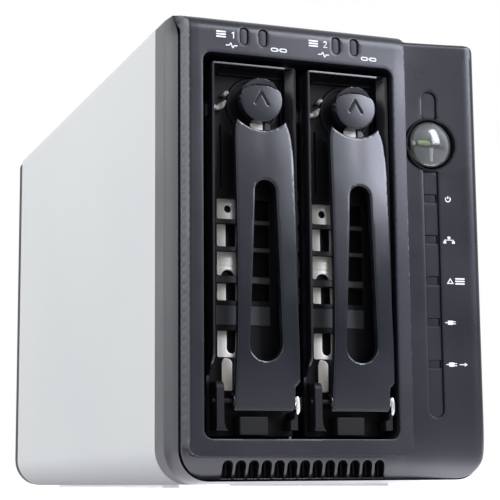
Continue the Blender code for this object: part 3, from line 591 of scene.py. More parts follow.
def keep_node(node, look, bevel=0.0):
    """A CAD node that stays: its own mesh, welded, shaded smooth and with softened edges."""
    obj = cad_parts[node]
    obj.data.materials.clear()
    obj.data.materials.append(LOOKS[look])
    weld = obj.modifiers.new("weld", "WELD")
    weld.merge_threshold = WELD_DISTANCE
    flat = obj.modifiers.new("flat", "DECIMATE")
    flat.decimate_type = "DISSOLVE"
    flat.angle_limit = math.radians(0.5)
    obj.modifiers.new("smooth", "NODES").node_group = SMOOTHING
    if bevel:
        bevelled(obj, bevel)
    else:
        obj.modifiers.new("normals", "WEIGHTED_NORMAL").keep_sharp = True


# ---------------------------------------------------------------- casing and bezel

FOOT = extent("outer_shell")[4]
FRAME_Y = extent("front_frame")[2:4]
BEZEL_BACK = extent("front_bezel")[3]
TRAYS = {side: middle(f"tray_{side}")[0] for side in "ab"}
SURROUND = (4.3, 82.0, 9.5, HEIGHT)
SURROUND_RADIUS = 4.6
SURROUND_TOP = 5.3
OPENING = (9.9, 76.8, 15.0, 138.5)  # x0, x1, z0, z1 of the bays, as for SURROUND
OPENING_RADIUS = 3.0
PANEL_FRONT, PANEL_LEFT, PANEL_LOW = 5.0, 2.6, 7.4  # y of the low face: right, left and bottom
PANEL_FLANK = 3.6
SWEEP_START, SWEEP_END, SWEEP_FORWARD = 81.0, 105.9, 3.2
STRIP_X, STRIP_WIDTH, STRIP_LOW, STRIP_HIGH = 92.4, 5.2, 22.2, 133.0
DOME_Z, DOME_RADIUS = middle("power_button")[2], 7.9
DOME_GAP = 1.05
DOME_FRONT, DOME_BULGE, DOME_BACK, DOME_BORE = 0.25, 4.3, 6.8, 0.955
FACET_FRONT = 5.3  # y of the four facets under the dome
STRIP_SINK, LENS_SINK = 0.8, 1.35
LENS_BACK = 8.6
WINDOW_HEIGHTS = (96.0, 82.0, 68.0, 54.0, 40.0)
PILLS, PILL_Z = (24.0, 30.6, 56.5, 63.1), 144.8  # the bays' lights
VENTS = [19.3 + 4.4 * i for i in range(13)]
VENT_WIDTH, VENT_TOP = 3.4, 8.5
LOW_RADIUS, PANEL_LOW_RADIUS = 11.5, 10.0
CORNER_RADIUS = 1.2
GROOVE = (0.35, 0.3, 0.3, 0.15)  # from the panel to the frame: left, right, below, above
RIGHT_RADIUS = 3.6
SIDE_PARTS = 48
ROLL_DEPTH = 5.5  # how far the frame's front edge rolls back
SHELL_SHARE = 0.45  # the shell's inside, as a share of the way to the panel
EDGE_STRIP_START, EDGE_STRIP_STEP = 34, 11.2  # degrees round the top corners
TOP_STEP = 0.6  # how far the right of the panel ends below the surround's top
FLARE = 5.5  # height of the corner that widens over the frame, at the top left
PANEL_EDGE = (3.6, WIDTH - 1.0, FOOT + 1.3, HEIGHT)


def rise(value):
    """A smooth step from 0 to 1."""
    value = np.clip(value, 0, 1)
    return value * value * (3 - 2 * value)


def box_depth(x, z, x0, x1, z0, z1, radius):
    """How far a point is inside a rounded rectangle; negative outside."""
    qx = np.abs(x - (x0 + x1) / 2) - (x1 - x0) / 2 + radius
    qz = np.abs(z - (z0 + z1) / 2) - (z1 - z0) / 2 + radius
    return radius - np.hypot(np.maximum(qx, 0), np.maximum(qz, 0)) - np.minimum(np.maximum(qx, qz), 0)


def over_top(z, radius):
    """How far the face falls back as it rounds over the top edge."""
    up = np.clip(z - (HEIGHT - radius), 0, radius)
    return radius - np.sqrt(np.maximum(radius ** 2 - up ** 2, 0))


def panel_face(x, z):
    """The lower face: it sweeps forward on the right and falls back on the left and below."""
    share = np.clip((x - SWEEP_START) / (SWEEP_END - SWEEP_START), 0, 1)
    edge = PANEL_LEFT + (PANEL_FRONT - PANEL_LEFT) * rise((x - 10) / 70)
    down = (PANEL_LOW - edge) * np.clip((22 - z) / 19.7, 0, 1) ** 2.6
    across = PANEL_FLANK * np.clip((SURROUND[0] + 0.2 - x) / 2.8, 0, 0.64)
    right = np.clip(x - (PANEL_EDGE[1] - 1.3), 0, 1.3)
    top = np.where(x < SURROUND[0] + 2, 0, over_top(z + TOP_STEP, 1.6))
    face = edge + np.hypot(down, across) - SWEEP_FORWARD * share ** 1.25 + 0.5 * right ** 2 + top
    return np.where(x < SURROUND[0] + 2, np.maximum(face, over_top(z, SURROUND_TOP) + 0.1), face)


def bezel_face(x, z):
    """The whole panel's face: the raised part round the bays stands out of the lower face."""
    x0, x1, z0, z1 = SURROUND
    depth = box_depth(x, z, x0, x1, z0, 2 * z1, SURROUND_RADIUS)
    low = panel_face(x, z)
    above = rise((z - z0 - 1.0) / 5.0)
    flank = 0.22 * above * np.clip(1 - depth / 4.4, 0, 1) ** 1.6
    top = flank + over_top(z, SURROUND_TOP)
    wide = 0.2 + 1.1 * above - 0.9 * (x > x1 - 3) * above
    return top + (low - top) * (1 - rise((depth + 0.1) / wide))


def divided(loop):
    """The loop with each of its four long sides cut into SIDE_PARTS."""
    points = []
    for i, (a, b) in enumerate(zip(loop, [*loop[1:], loop[0]])):
        count = SIDE_PARTS if (i + 1) % (len(loop) // 4) == 0 else 1
        points += [(a[0] + (b[0] - a[0]) * k / count, a[1] + (b[1] - a[1]) * k / count)
                   for k in range(count)]
    return np.array(points)


def casing_section(share):
    """The casing's section, from its outside (share 0) to the front panel's edge (share 1)."""
    outer = divided(rounded(0, WIDTH, FOOT, HEIGHT, LOW_RADIUS, CORNER_RADIUS, 14,
                            top_right=RIGHT_RADIUS))
    x0, x1, z0, z1 = PANEL_EDGE
    left, right, below, above = GROOVE
    inner = divided(rounded(x0 - left, x1 + right, z0 - below, z1 - above, PANEL_LOW_RADIUS - 0.2, 0.5,
                            14, top_right=RIGHT_RADIUS - 0.2))
    right_of = rise((inner[:, 0] - SURROUND[1]) / 2.0)
    inner[:, 1] -= right_of * rise((inner[:, 1] - HEIGHT + 9.0) / 6.0)
    flare = rise((inner[:, 1] - HEIGHT + FLARE) / FLARE) * (inner[:, 0] < WIDTH / 2)
    inner[:, 0] = np.where(inner[:, 0] < x0 + 1, inner[:, 0] * (1 - 0.66 * flare), inner[:, 0])
    return outer + (inner - outer) * share


def sleeve(profile):
    """A closed sleeve through sections of the casing: (share, y) for each."""
    loops = [[(x, y, z) for x, z in casing_section(share)] for share, y in profile]
    return loft([*loops, loops[0]], caps=False)


def make_casing():
    """The black band round the front, the silver shell with a dark strip along each top corner, rear
    frame and feet.
    """
    front, back = FRAME_Y
    profile = [(0.0, back), (0.0, front + ROLL_DEPTH + 1)]
    profile += [(0.94 * (i / 12) ** 1.5, front + ROLL_DEPTH * (1 - i / 12)) for i in range(13)]
    profile += [(1.0, front + 0.25), (1.0, back)]
    piece("front_frame_moulding", "frame", sleeve(profile), "casing", ["front_frame"])
    y0, y1 = extent("outer_shell")[2:4]
    shell = sleeve([(0, y0), (0, y1), (SHELL_SHARE, y1), (SHELL_SHARE, y0)])
    piece("shell_sleeve", "silver", shell, "casing", ["outer_shell"])
    for name, x, way in (("edge_dark_strip_left", 0.0, 1), ("edge_dark_strip_right", WIDTH, -1)):
        strip = []
        for radius in (CORNER_RADIUS + 0.02, CORNER_RADIUS - 0.3):
            angles = [math.radians(EDGE_STRIP_START) + i * math.radians(EDGE_STRIP_STEP) for i in range(6)]
            points = [(x + way * (CORNER_RADIUS - radius * math.cos(a)),
                       HEIGHT - CORNER_RADIUS + radius * math.sin(a)) for a in angles]
            strip += points if radius > CORNER_RADIUS else points[::-1]
        piece(name, "dark", slab("Y", y0, y1, [(u, min(v, HEIGHT)) for u, v in strip]), "casing")
    keep_node("rear_frame", "dim", 0.6)
    for name in ("foot_strip_left", "foot_strip_right"):
        keep_node(name, "foot", 0.2)


def strip_loops():
    """The status strip's two stretches, below and above the power button."""
    half = STRIP_WIDTH / 2
    dip = math.sqrt((DOME_RADIUS + 1.6) ** 2 - half ** 2)
    lower = [*arc(STRIP_X, STRIP_LOW + half, half, 180, 360, 14),
             (STRIP_X + half, DOME_Z - dip), (STRIP_X - half, DOME_Z - dip)]
    upper = [*arc(STRIP_X, STRIP_HIGH - half, half, 0, 180, 14),
             (STRIP_X - half, DOME_Z + dip), (STRIP_X + half, DOME_Z + dip)]
    return lower, upper


def make_bezel():
    """The front panel: one moulded face with its openings, and near-black sheets behind it that block
    the view as painted shade.
    """
    edge0, edge1, low, high = PANEL_EDGE
    outer = rounded(edge0, edge1, low, high - TOP_STEP, PANEL_LOW_RADIUS, 0.8, 12,
                    top_right=RIGHT_RADIUS)
    outer = outer[:-13]  # without the corner at the top left, which follows
    step = SURROUND[1]
    outer += [(step + 0.3, high - TOP_STEP), (step, high - 0.3), (step - 0.45, high - 0.08),
              (step - 1.1, high)]
    tip = 1.2  # the corner reaches over the frame
    outer += [(tip + 0.4, high), (tip, high - 0.3)]
    outer += [(edge0 - (edge0 - tip) * float(rise(1 - i / 9)), high - 0.3 - (FLARE - 0.3) * i / 9)
              for i in range(1, 10)]
    vents = [arc(x, VENT_TOP - VENT_WIDTH / 2, VENT_WIDTH / 2, 0, 180, 10)
             + [(x - VENT_WIDTH / 2, low + 0.55), (x + VENT_WIDTH / 2, low + 0.55)] for x in VENTS]
    pills = [stadium(x, PILL_Z, 3.0, 6.0) for x in PILLS]
    lower, upper = strip_loops()
    dome = circle(STRIP_X, DOME_Z, DOME_RADIUS + DOME_GAP, 72)
    holes = [rounded(*OPENING, OPENING_RADIUS, steps=12), dome, lower, upper, *pills, *vents]
    x0, x1, z0, z1 = SURROUND
    extra = []
    for offset in (*np.linspace(-0.24, 0.32, 8), *np.linspace(0.5, 4.5, 17)):
        radius = max(SURROUND_RADIUS - offset, 0.3)
        loop = rounded(x0 + offset, x1 - offset, z0 + offset, 2 * z1, radius, steps=18)
        extra += even(loop, 0.8)
    for i in range(14):
        z = HEIGHT - SURROUND_TOP * (1 - math.sin(math.pi / 2 * i / 14))
        extra += [(x, z) for x in np.arange(edge0, edge1, 0.8)]
    mesh = relief(outer, holes, bezel_face, level(BEZEL_BACK), 1.1, 0.25, extra)
    piece("bezel_moulding", "black", mesh, "casing", ["front_bezel"])
    # Near-black sheets behind the panel, low in the bays and behind the vents: painted shade where the
    # view would reach inside.
    shade_skirt = slab("Y", 10.2, 11.4, rounded(1.2, WIDTH - 0.5, FOOT + 0.5, HEIGHT - 1.5, 10.5, 1.0),
                 rounded(6.0, WIDTH - 4.0, FOOT + 4.5, HEIGHT - 5.0, 7.0, 1.0))
    piece("bezel_shade_skirt", "dark", shade_skirt, "casing")
    piece("bay_shade_sheet", "dark", block(8.0, WIDTH - 8.0, 173.0, 174.2, 12.0, 24.0), "casing")
    screen = [block(15.5, 76.0, 10.9, 11.6, low + 0.3, VENT_TOP + 1.0)]
    screen += [block(x - 0.3, x + 0.3, 9.2, 11.0, low + 1.2, VENT_TOP + 0.6)
               for x in np.arange(17.0, 75.0, 1.47)]
    piece("vent_shade_screen", "dark", group(screen), "casing")


def make_strip():
    """The recessed status strip with its five windows, and the short recess above the button."""
    lower, upper = strip_loops()
    windows = [rounded(STRIP_X - 2.2, STRIP_X + 2.2, z - 1.45, z + 1.45, 0.25, steps=3)
               for z in WINDOW_HEIGHTS]
    face = lambda u, v: panel_face(u, v) + STRIP_SINK
    for name, loop, holes, nodes in (("status_strip_face", lower, windows, ["status_strip"]),
                                     ("strip_recess", upper, [], [])):
        floor = shifted(loop, 0.04).tolist()
        mesh = relief(floor, holes, face, level(BEZEL_BACK - 1), 0.9, 0.1)
        piece(name, "black", mesh, "casing", nodes)
    lenses = []
    for z in WINDOW_HEIGHTS:
        outline = rounded(STRIP_X - 2.14, STRIP_X + 2.14, z - 1.39, z + 1.39, 0.22, steps=3)
        front = lambda u, v: panel_face(u, v) + LENS_SINK - 0.1 * np.cos((u - STRIP_X) / 2.2)
        lenses.append(relief(outline, [], front, level(LENS_BACK), 0.5, 0.1))
    piece("status_lenses", "window", group(lenses), "casing", ["status_light_pipe"])
    pills = []
    for x in PILLS:
        front = lambda u, v, x=x: 0.55 + 0.15 * ((u - x) / 1.3) ** 2 + over_top(v, SURROUND_TOP)
        pills.append(relief(stadium(x, PILL_Z, 2.7, 5.7), [], front, level(LENS_BACK), 0.4, 0.3))
    piece("bay_lenses", "pill", group(pills), "casing", ["bay_light_pipe"])


def make_power_button():
    """A clear dome over a dish in four quarters, two of which glow as painted light, with clear ribs, a
    catch, two small green lit strips and two pale strips that glow as painted highlights.
    """
    x, z, radius = STRIP_X, DOME_Z, DOME_RADIUS + 0.15
    outside = [(radius * math.sin(a), DOME_FRONT + DOME_BULGE * (1 - math.cos(a)))
               for a in np.linspace(0.02, math.pi / 2, 22)]
    inner = [(r * DOME_BORE, y + 0.6) for r, y in outside]
    rear = [(radius, DOME_BACK), (radius * DOME_BORE, DOME_BACK)]
    shell = turned([*outside, *rear, *inner[::-1]], x, z, 72)
    piece("button_dome", "dome", shell, "power_button", ["power_button"])
    dish = [(7.5, 3.6), (7.3, 4.2), (5.6, 5.2), (1.6, 6.2), (0.9, 6.3), (0.9, 7.0), (7.5, 7.0)]
    piece("button_dish", "reflector", turned(dish, x, z, 64), "power_button", ["power_button_core"])
    # The upper right quarter glows as a painted highlight and the lower left one as painted green
    # light.
    sectors = ((12, 78, "facet"), (102, 168, "reflector"), (196, 258, "glow"), (282, 348, "reflector"))
    hollow = lambda u, v: FACET_FRONT - 0.02 * ((u - x) ** 2 + (v - z) ** 2)
    for i, (start, end, tint) in enumerate(sectors):
        wedge = [*arc(x, z, 6.6, start, end, 10), *arc(x, z, 1.7, end, start, 3)]
        piece(f"button_facet_{i + 1}", tint, relief(wedge, [], hollow, level(5.8), 0.8, 0.2),
              "power_button")
    front = lambda u, v: 2.0 + 0.05 * ((u - x) ** 2 + (v - z) ** 2)
    for name, across, up in (("button_rib_level", 6.9, 0.42), ("button_rib_upright", 0.42, 6.9)):
        outline = rounded(x - across, x + across, z - up, z + up, 0.2, steps=2)
        piece(name, "clear", relief(outline, [], front, level(6.2), 0.6, 0.15), "power_button")
    hook = [(-1.2, 0.3), (-0.6, 0.5), (-0.3, 1.3), (0.0, 2.1), (-0.5, 2.1), (-1.0, 1.2)]
    piece("button_pin", "dark", slab("Y", 3.2, 6.4, moved(hook, x, z)), "power_button")
    # The two green strips are the button's lamp; the two milky strips glow faintly as painted
    # highlights.
    glowing_strips = (((-4.8, -0.6, -0.2, 1.2), 3.0, "green"), ((-5.0, -1.6, -2.6, -1.2), 3.6, "green"),
             ((-0.5, 0.5, -5.8, -1.0), 2.8, "milky"), ((-7.0, -5.8, -0.7, 0.7), 2.8, "milky"))
    for i, ((u0, u1, v0, v1), y, tint) in enumerate(glowing_strips):
        outline = rounded(x + u0, x + u1, z + v0, z + v1, 0.45, steps=4)
        piece(f"button_glow_strip_{i + 1}", tint, relief(outline, [], level(y), level(y + 1.6), 0.5, 0.4),
              "power_button")
    # The ring takes the near-void black: painted shade for the dark gap round the dome.
    lip = [(radius + r, y)
           for r, y in ((0.75, 5.9), (1.15, 3.9), (0.9, 3.5), (0.55, 3.5), (0.3, 3.9), (0.3, 5.9))]
    piece("button_ring", "dark", turned([*lip, lip[0]], x, z, 72, caps=False), "casing",
          ["power_button_ring"], "gloss_black")
    keep_node("light_board", "board", 0.1)


# ---------------------------------------------------------------- printed marks

STROKE = 0.32
INK = (-0.03, 0.06)  # its front and its rear, from the face
SIGNS_X = 98.2
MARK_HIGH, MARK_LOW = 144.7, 141.2


def bar(x0, z0, x1, z1, width=STROKE):
    """A straight stroke."""
    length = math.hypot(x1 - x0, z1 - z0)
    u, v = (x1 - x0) / length * width / 2, (z1 - z0) / length * width / 2
    return [[(x0 - v, z0 + u), (x0 + v, z0 - u), (x1 + v, z1 - u), (x1 - v, z1 + u)]]


def ring(x, z, radius, width=STROKE, start=0, end=360):
    """A round stroke, whole or in part."""
    outer = arc(x, z, radius + width / 2, start, end, 20)
    inner = arc(x, z, radius - width / 2, start, end, 20)
    return [outer[:-1], inner[:-1][::-1]] if end - start == 360 else [outer + inner[::-1]]


def strokes(points, width=STROKE):
    """Straight strokes from point to point."""
    return [bar(*a, *b, width) for a, b in zip(points, points[1:])]


def stadium_flat(x, z, width, height):
    """A stadium that lies on its side."""
    return [(x + v, z + u) for u, v in stadium(0, 0, height, width, 5)][::-1]


# Each sign is a list of shapes about its middle; a shape is an outline and its holes
DISK = [[stadium_flat(0, 0.85 * k, 3.4, 0.5)] for k in (-1, 0, 1)]
ONE = [[[(-0.1, -1.1), (0.25, -1.1), (0.25, 1.1), (-0.05, 1.1), (-0.6, 0.65), (-0.5, 0.35),
         (-0.1, 0.6)]]]
TWO = [ring(0, 0.5, 0.5, STROKE, -35, 175), bar(0.42, 0.2, -0.55, -0.95), bar(-0.7, -0.95, 0.75, -0.95)]
PULSE = strokes([(-2.0, 0), (-0.8, 0), (-0.3, 0.9), (0.4, -0.9), (0.9, 0), (2.0, 0)], 0.34)
LINK = [[stadium_flat(u, 0, 2.7, 1.3), stadium_flat(u, 0, 2.0, 0.65)[::-1]] for u in (-1.5, 1.5)]
LINK.append(bar(-0.9, 0, 0.9, 0, 0.3))
POWER = [ring(0, 0, 0.85, 0.34, -230, 50), bar(0, 0.1, 0, 1.05, 0.34)]
NETWORK = [[[(u - 0.5, w - 0.4), (u + 0.5, w - 0.4), (u + 0.5, w + 0.4), (u - 0.5, w + 0.4)]]
           for u, w in ((0, 0.8), (-1.5, -0.8), (1.5, -0.8))]
NETWORK += [bar(*ends, 0.26) for ends in
            ((-1.65, 0, 1.65, 0), (0, 0.5, 0, 0), (-1.5, 0, -1.5, -0.5), (1.5, 0, 1.5, -0.5))]
WARNING = [[[(-1.2, -0.9), (1.2, -0.9), (0, 1.1)], [(-0.62, -0.58), (0, 0.45), (0.62, -0.58)]]]
PLUG = [[rounded(-1.3, 0.6, -0.7, 0.7, 0.3, steps=3)], bar(0.6, 0.35, 1.5, 0.35, 0.28),
        bar(0.6, -0.35, 1.5, -0.35, 0.28), bar(-2.2, 0, -1.3, 0, 0.28)]
ARROW = [bar(-1.3, 0, 0.7, 0, 0.3), [[(0.5, -0.65), (1.5, 0), (0.5, 0.65)]]]


def decal(shapes, face):
    """Thin ink that follows the face it is printed on."""
    bm = bmesh.new()
    for loops in shapes:
        loops = [even(loop, 0.6) for loop in wound(loops[0], loops[1:])]
        flat, faces, rims = triangulated(loops, [])
        sides = [[bm.verts.new(at(x, float(face(x, z)) + shift, z)) for x, z in flat] for shift in INK]
        for verts, way in zip(sides, (1, -1)):
            for f in faces:
                bm.faces.new([verts[i] for i in f[::way]])
        walls(bm, rims, *sides)
    return finished(bm)


def make_marks():
    """Plain signs in the places of printed words: bay numbers, disks, activity, links and ports."""
    signs = []
    for digit, x in ((ONE, 13.6), (TWO, 45.9)):
        signs += [(DISK, x + 2.4, MARK_HIGH), (digit, x + 6.6, MARK_HIGH),
                  (PULSE, x + 6.0, MARK_LOW), (LINK, x + 22.4, MARK_LOW)]
    rows = [z - 0.2 for z in WINDOW_HEIGHTS]
    signs += [(sign, SIGNS_X, z) for sign, z in zip((POWER, NETWORK, WARNING, PLUG, PLUG), rows)]
    signs += [(DISK, 101.6, rows[2]), (ARROW, 101.9, rows[4])]
    shapes = [[moved(loop, x, z) for loop in shape] for sign, x, z in signs for shape in sign]
    piece("printed_marks", "print", decal(shapes, bezel_face), "casing")


# ---------------------------------------------------------------- trays

TRAY_Z = (16.0, 136.2)
TRAY_HALF, TRAY_WALL = 14.6, 0.9
TRAY_FRONT = 2.0
LADDER_Y = (8.6, 10.4)
HINGE_Y, HINGE_Z = 3.7, 27.0
BUTTON_U, BUTTON_Z, BUTTON_RADIUS = 1.7, 123.9, 7.2
BUTTON_SHIFT = 0.35  # the cap's middle from the eject button's, to the right and up
CAP_FRONT, CAP_CROWN = 0.3, 0.004
THUMB_STEP, THUMB_RADIUS, THUMB_BELOW = 1.5, 14.1, 9.4
POINTER_DEPTH, POINTER_WIDTH = 0.4, 0.26
BOW_FRONT, BOW_ABOVE, BOW_BELOW = 0.15, 2.1, 1.0
BOW_MIDDLE, BOW_REACH = 75.0, 50.0
LEVER_THICK = 2.7
RIM_BACK = LADDER_Y[0] + 0.2
WINDOWS = ((85.8, 92.6), (76.8, 84.2), (67.4, 75.2), (59.3, 64.8))
COLUMNS = ((-10.8, -3.2), (0.9, 7.0))
LOW_WINDOW = (41.1, 49.6)
ARCH_U, ARCH_LOW, ARCH_WIDTH, ARCH_HEIGHT = -7.5, 30.1, 3.9, 10.9


def along(start, end, x, z):
    """Distance of points from a straight stretch."""
    start, way = np.array(start, float), np.array(end, float) - np.array(start, float)
    t = np.clip(((x - start[0]) * way[0] + (z - start[1]) * way[1]) / (way @ way), 0, 1)
    return np.hypot(x - start[0] - t * way[0], z - start[1] - t * way[1])


def rider(side, part):
    """A maker of pieces that ride on a part of one tray. Names end in the tray's letter."""
    def own(name, look, mesh, node=None, **rest):
        nodes = [f"{node}_{side}"] if node else ()
        piece(f"{name}_{side}", look, mesh, f"{part}_{side}", nodes, **rest)
    return own


def make_handle(side, cx):
    """A bowed lever with a tapered finger hole, horns round the button and a wider foot."""
    own = rider(side, "handle")
    left = spline([(-5.9, 117.9), (-6.7, 114.6), (-6.9, 109.0), (-6.8, 90.0), (-6.6, 62.0),
                   (-6.7, 48.0), (-7.2, 36.0), (-7.8, 24.2)], 5)
    right = spline([(14.5, 33.2), (14.3, 45.0), (13.7, 62.0), (13.4, 90.0), (13.3, 103.0),
                    (12.9, 109.5), (12.2, 114.0), (10.8, 118.4)], 5)
    foot = [(-7.5, 23.8), (12.3, 23.8), (12.6, 24.1), (12.9, 31.0), (13.6, 32.0)]
    notch = arc(2.4, 126.3, 11.9, 312, 228, 16)
    outline = moved([*left, *foot, *right, *notch], cx)
    hole = [*arc(cx + 3.1, 94.2, 3.6, 8, 172, 14), *arc(cx + 2.9, 45.1, 5.6, 172, 368, 20)]

    def bow(x, z):
        share = (z - BOW_MIDDLE) / BOW_REACH
        return BOW_FRONT + np.where(share > 0, BOW_ABOVE, BOW_BELOW) * share ** 2

    def front(x, z):
        crown = 0.10 * ((x - cx - 3.1) / 9.0) ** 2
        dip = 0.03 * np.exp(-((x - cx - 3.0) / 2.6) ** 2) * rise((z - 96) / 14)
        return bow(x, z) + crown + dip

    mesh = relief(outline, [hole], front, lambda x, z: bow(x, z) + LEVER_THICK, 0.62, 0.5)
    own("lever", "gloss", mesh, "handle")
    barrel = [slab("X", cx - 7.9, cx + 10.6, circle(HINGE_Y, HINGE_Z, 2.3, 36),
                   circle(HINGE_Y, HINGE_Z, 1.3, 28))]
    barrel += [block(cx + u, cx + u + 1.0, 2.4, 4.6, 30.0, 108.0) for u in (-5.4, 11.2)]
    own("lever_barrel", "gloss", group(barrel), bevel=0.15)


def make_button(side, cx):
    """A round push button: a thumb step across its top and an engraved pointer whose right leg has
    painted shade.
    """
    own = rider(side, "eject_button")
    x, z = cx + BUTTON_U + BUTTON_SHIFT, BUTTON_Z + BUTTON_SHIFT
    tip, left_end, right_end = (x - 0.2, z + 2.3), (x - 2.3, z - 1.4), (x + 2.1, z - 1.6)

    def front(u, v):
        step = np.hypot(u - x, v - z + THUMB_BELOW) - THUMB_RADIUS
        cut = THUMB_STEP * rise(step / 0.2) * (1 - 0.92 * np.clip(step / 2.3, 0, 1) ** 0.8)
        legs = np.minimum(along(tip, left_end, u, v), along(tip, right_end, u, v))
        mark = POINTER_DEPTH * np.exp(-(legs / POINTER_WIDTH) ** 2)
        crown = CAP_FRONT + CAP_CROWN * ((u - x) ** 2 + (v - z) ** 2)
        return crown + np.where(step > 0, cut, 0) + mark * (step < 0)

    cap = relief(circle(x, z, BUTTON_RADIUS, 72), [], front, level(4.6), 0.24, 0.3)
    stem = turned([(5.4, 4.5), (5.4, 6.3), (5.0, 6.5), (4.6, 6.5)], x, z, 40)
    own("push_button", "gloss", group([cap, stem]), "eject_button")
    # A thin near-black sheet over the pointer's right leg: painted shade in the engraved groove.
    leg = [(tip[0] - 0.1, tip[1] - 0.5), (tip[0] + 0.45, tip[1] - 0.5),
           (right_end[0] + 0.25, right_end[1]), (right_end[0] - 0.35, right_end[1])]
    painted_shade_front = lambda u, v: 0.31 + CAP_CROWN * ((u - x) ** 2 + (v - z) ** 2)
    own("pointer_painted_shade", "dark", relief(leg, [], painted_shade_front, level(0.9), 0.6, 0.03))
    y0, y1 = extent(f"eject_latch_{side}")[2:4]
    tongue = moved([(-2.4, -10.2), (1.9, -10.2), (1.9, -7.0), (-2.4, -7.0)], x, z)
    own("latch_tongue", "bracket", slab("Y", y0, y1, tongue), "eject_latch", bevel=0.12)
    hook = moved([(2.1, -10.2), (4.2, -9.8), (4.6, -8.2), (3.9, -6.9), (2.1, -6.9)], x, z)
    own("latch_hook", "gloss", slab("Y", y0 - 0.6, y1, hook), bevel=0.2)


def tray_rim(left, right, low, high):
    """The tray's front edge: thin at the left and top, a slanted flange at the right, low below."""
    outer = np.array(even(rounded(left, right, low, high, 0.9, steps=6), 3.0))
    tight, wide = 0.75, 2.7
    x0, x1, z0, z1 = left + tight, right - wide, low + tight, high - tight
    inner = np.stack([np.clip(outer[:, 0], x0, x1), np.clip(outer[:, 1], z0, z1)], axis=1)
    loops = []
    profile = ((0.0, RIM_BACK), (0.0, 0.35), (0.1, 0.08), (0.3, 0.0), (1.0, 0.0), (1.0, RIM_BACK))
    for share, y in profile:
        loop = []
        for (x, z), (xi, zi) in zip(outer, inner):
            stand = float(rise((z - 34.0) / 7.0))
            place = y if y > 4 else TRAY_FRONT + y + 3.3 * share * (x > x1 + 0.5)
            depth = place * stand + RIM_BACK * (1 - stand)
            loop.append((x + (xi - x) * share, depth, z + (zi - z) * share))
        loops.append(loop)
    return loft([*loops, loops[0]], caps=False)


def make_tray(side, cx):
    """One tray about its middle cx: rim, pierced ladder, ribs and ears, then what it carries."""
    own = rider(side, "tray")
    left, right = cx - TRAY_HALF, cx + TRAY_HALF
    low, high = TRAY_Z
    own("tray_rim", "tray", tray_rim(left, right, low, high), "tray")
    windows = [rounded(cx + u0, cx + u1, z0, z1, 0.5, steps=3)
               for z0, z1 in WINDOWS for u0, u1 in COLUMNS]
    windows.append(rounded(cx + COLUMNS[0][0], cx + COLUMNS[0][1], *LOW_WINDOW, 0.5, steps=3))
    top = ARCH_LOW + ARCH_HEIGHT - ARCH_WIDTH / 2
    arch = arc(cx + ARCH_U, top, ARCH_WIDTH / 2, 0, 180, 12)
    windows.append([*arch, (cx + ARCH_U - ARCH_WIDTH / 2, ARCH_LOW),
                    (cx + ARCH_U + ARCH_WIDTH / 2, ARCH_LOW)])
    plate = relief(rounded(left, right, low, high, 0.6, steps=3), windows, level(LADDER_Y[0]),
                   level(LADDER_Y[1]), 3.0, 0.25)
    own("tray_ladder", "dark", plate)
    rungs = [block(cx - 11.4, cx + 7.2, LADDER_Y[0] - 0.25, LADDER_Y[0] + 0.5, z0, z1)
             for z0, z1 in ((84.3, 85.7), (75.3, 76.7), (65.0, 67.1), (51.4, 57.6))]
    own("tray_rungs", "rung", group(rungs), bevel=0.15)
    tabs = [block(right - 1.5, right - 0.85, 6.4, 7.4, z0 + 0.7, z1 - 0.5)
            for z0, z1 in (*WINDOWS, (93.6, 99.6))]
    own("side_tabs", "leaf", group(tabs), bevel=0.1)
    x, z = cx + BUTTON_U, BUTTON_Z
    socket = [(BUTTON_RADIUS + 2.3, 9.0), (BUTTON_RADIUS + 2.3, 8.2), (BUTTON_RADIUS + 2.0, 7.9),
              (BUTTON_RADIUS + 0.9, 7.9), (BUTTON_RADIUS + 0.8, 9.0)]
    ribs = [block(left + 2.6, left + 3.3, 7.2, 8.9, 100.0, 119.0),
            block(left + 5.0, left + 5.5, 7.6, 8.9, 96.0, 117.0),
            block(right - 3.6, right - 3.0, 7.4, 8.9, 98.0, 132.0),
            block(left + 4.0, right - 3.0, 7.6, 8.9, 133.4, 134.2)]
    own("tray_ribs", "dark", group([turned(socket, x, z, 64), *ribs]), bevel=0.12)
    y, z = HINGE_Y, HINGE_Z
    post = [(TRAY_FRONT + 0.1, low + 2.6), (TRAY_FRONT + 0.9, low + 1.7), (8.8, low + 1.7), (8.8, 33.4),
            *arc(4.5, 30.8, 2.3, 50, 180, 8)]
    flare = moved([(1.0, 1.6), (5.0, 1.6), (4.3, 2.5), (3.7, 4.2), (1.3, 4.2)], left, low)
    ears = [slab("X", left + 1.2, left + 3.7, post, circle(y, z, 1.05, 20)),
            slab("Y", TRAY_FRONT + 0.2, 8.7, flare)]
    hook = [(right - 3.2, low + 1.8), (right - 0.8, low + 1.8), (right - 0.8, 23.6),
            (right - 1.9, 23.6), (right - 1.9, 21.4), (right - 3.2, 20.8)]
    ears.append(slab("Y", TRAY_FRONT + 0.1, 8.7, hook))
    tab = rounded(cx - 5.7, cx + 3.8, low + 0.2, 22.0, 0.3, steps=2)
    ears.append(relief(tab, [], level(TRAY_FRONT + 0.3), level(8.7), 1.5, 0.3))
    own("tray_ears", "dim", group(ears), bevel=0.18)
    make_rails(side, cx)
    make_handle(side, cx)
    make_button(side, cx)
    make_hinge(side, cx)
    make_bracket(side, cx)


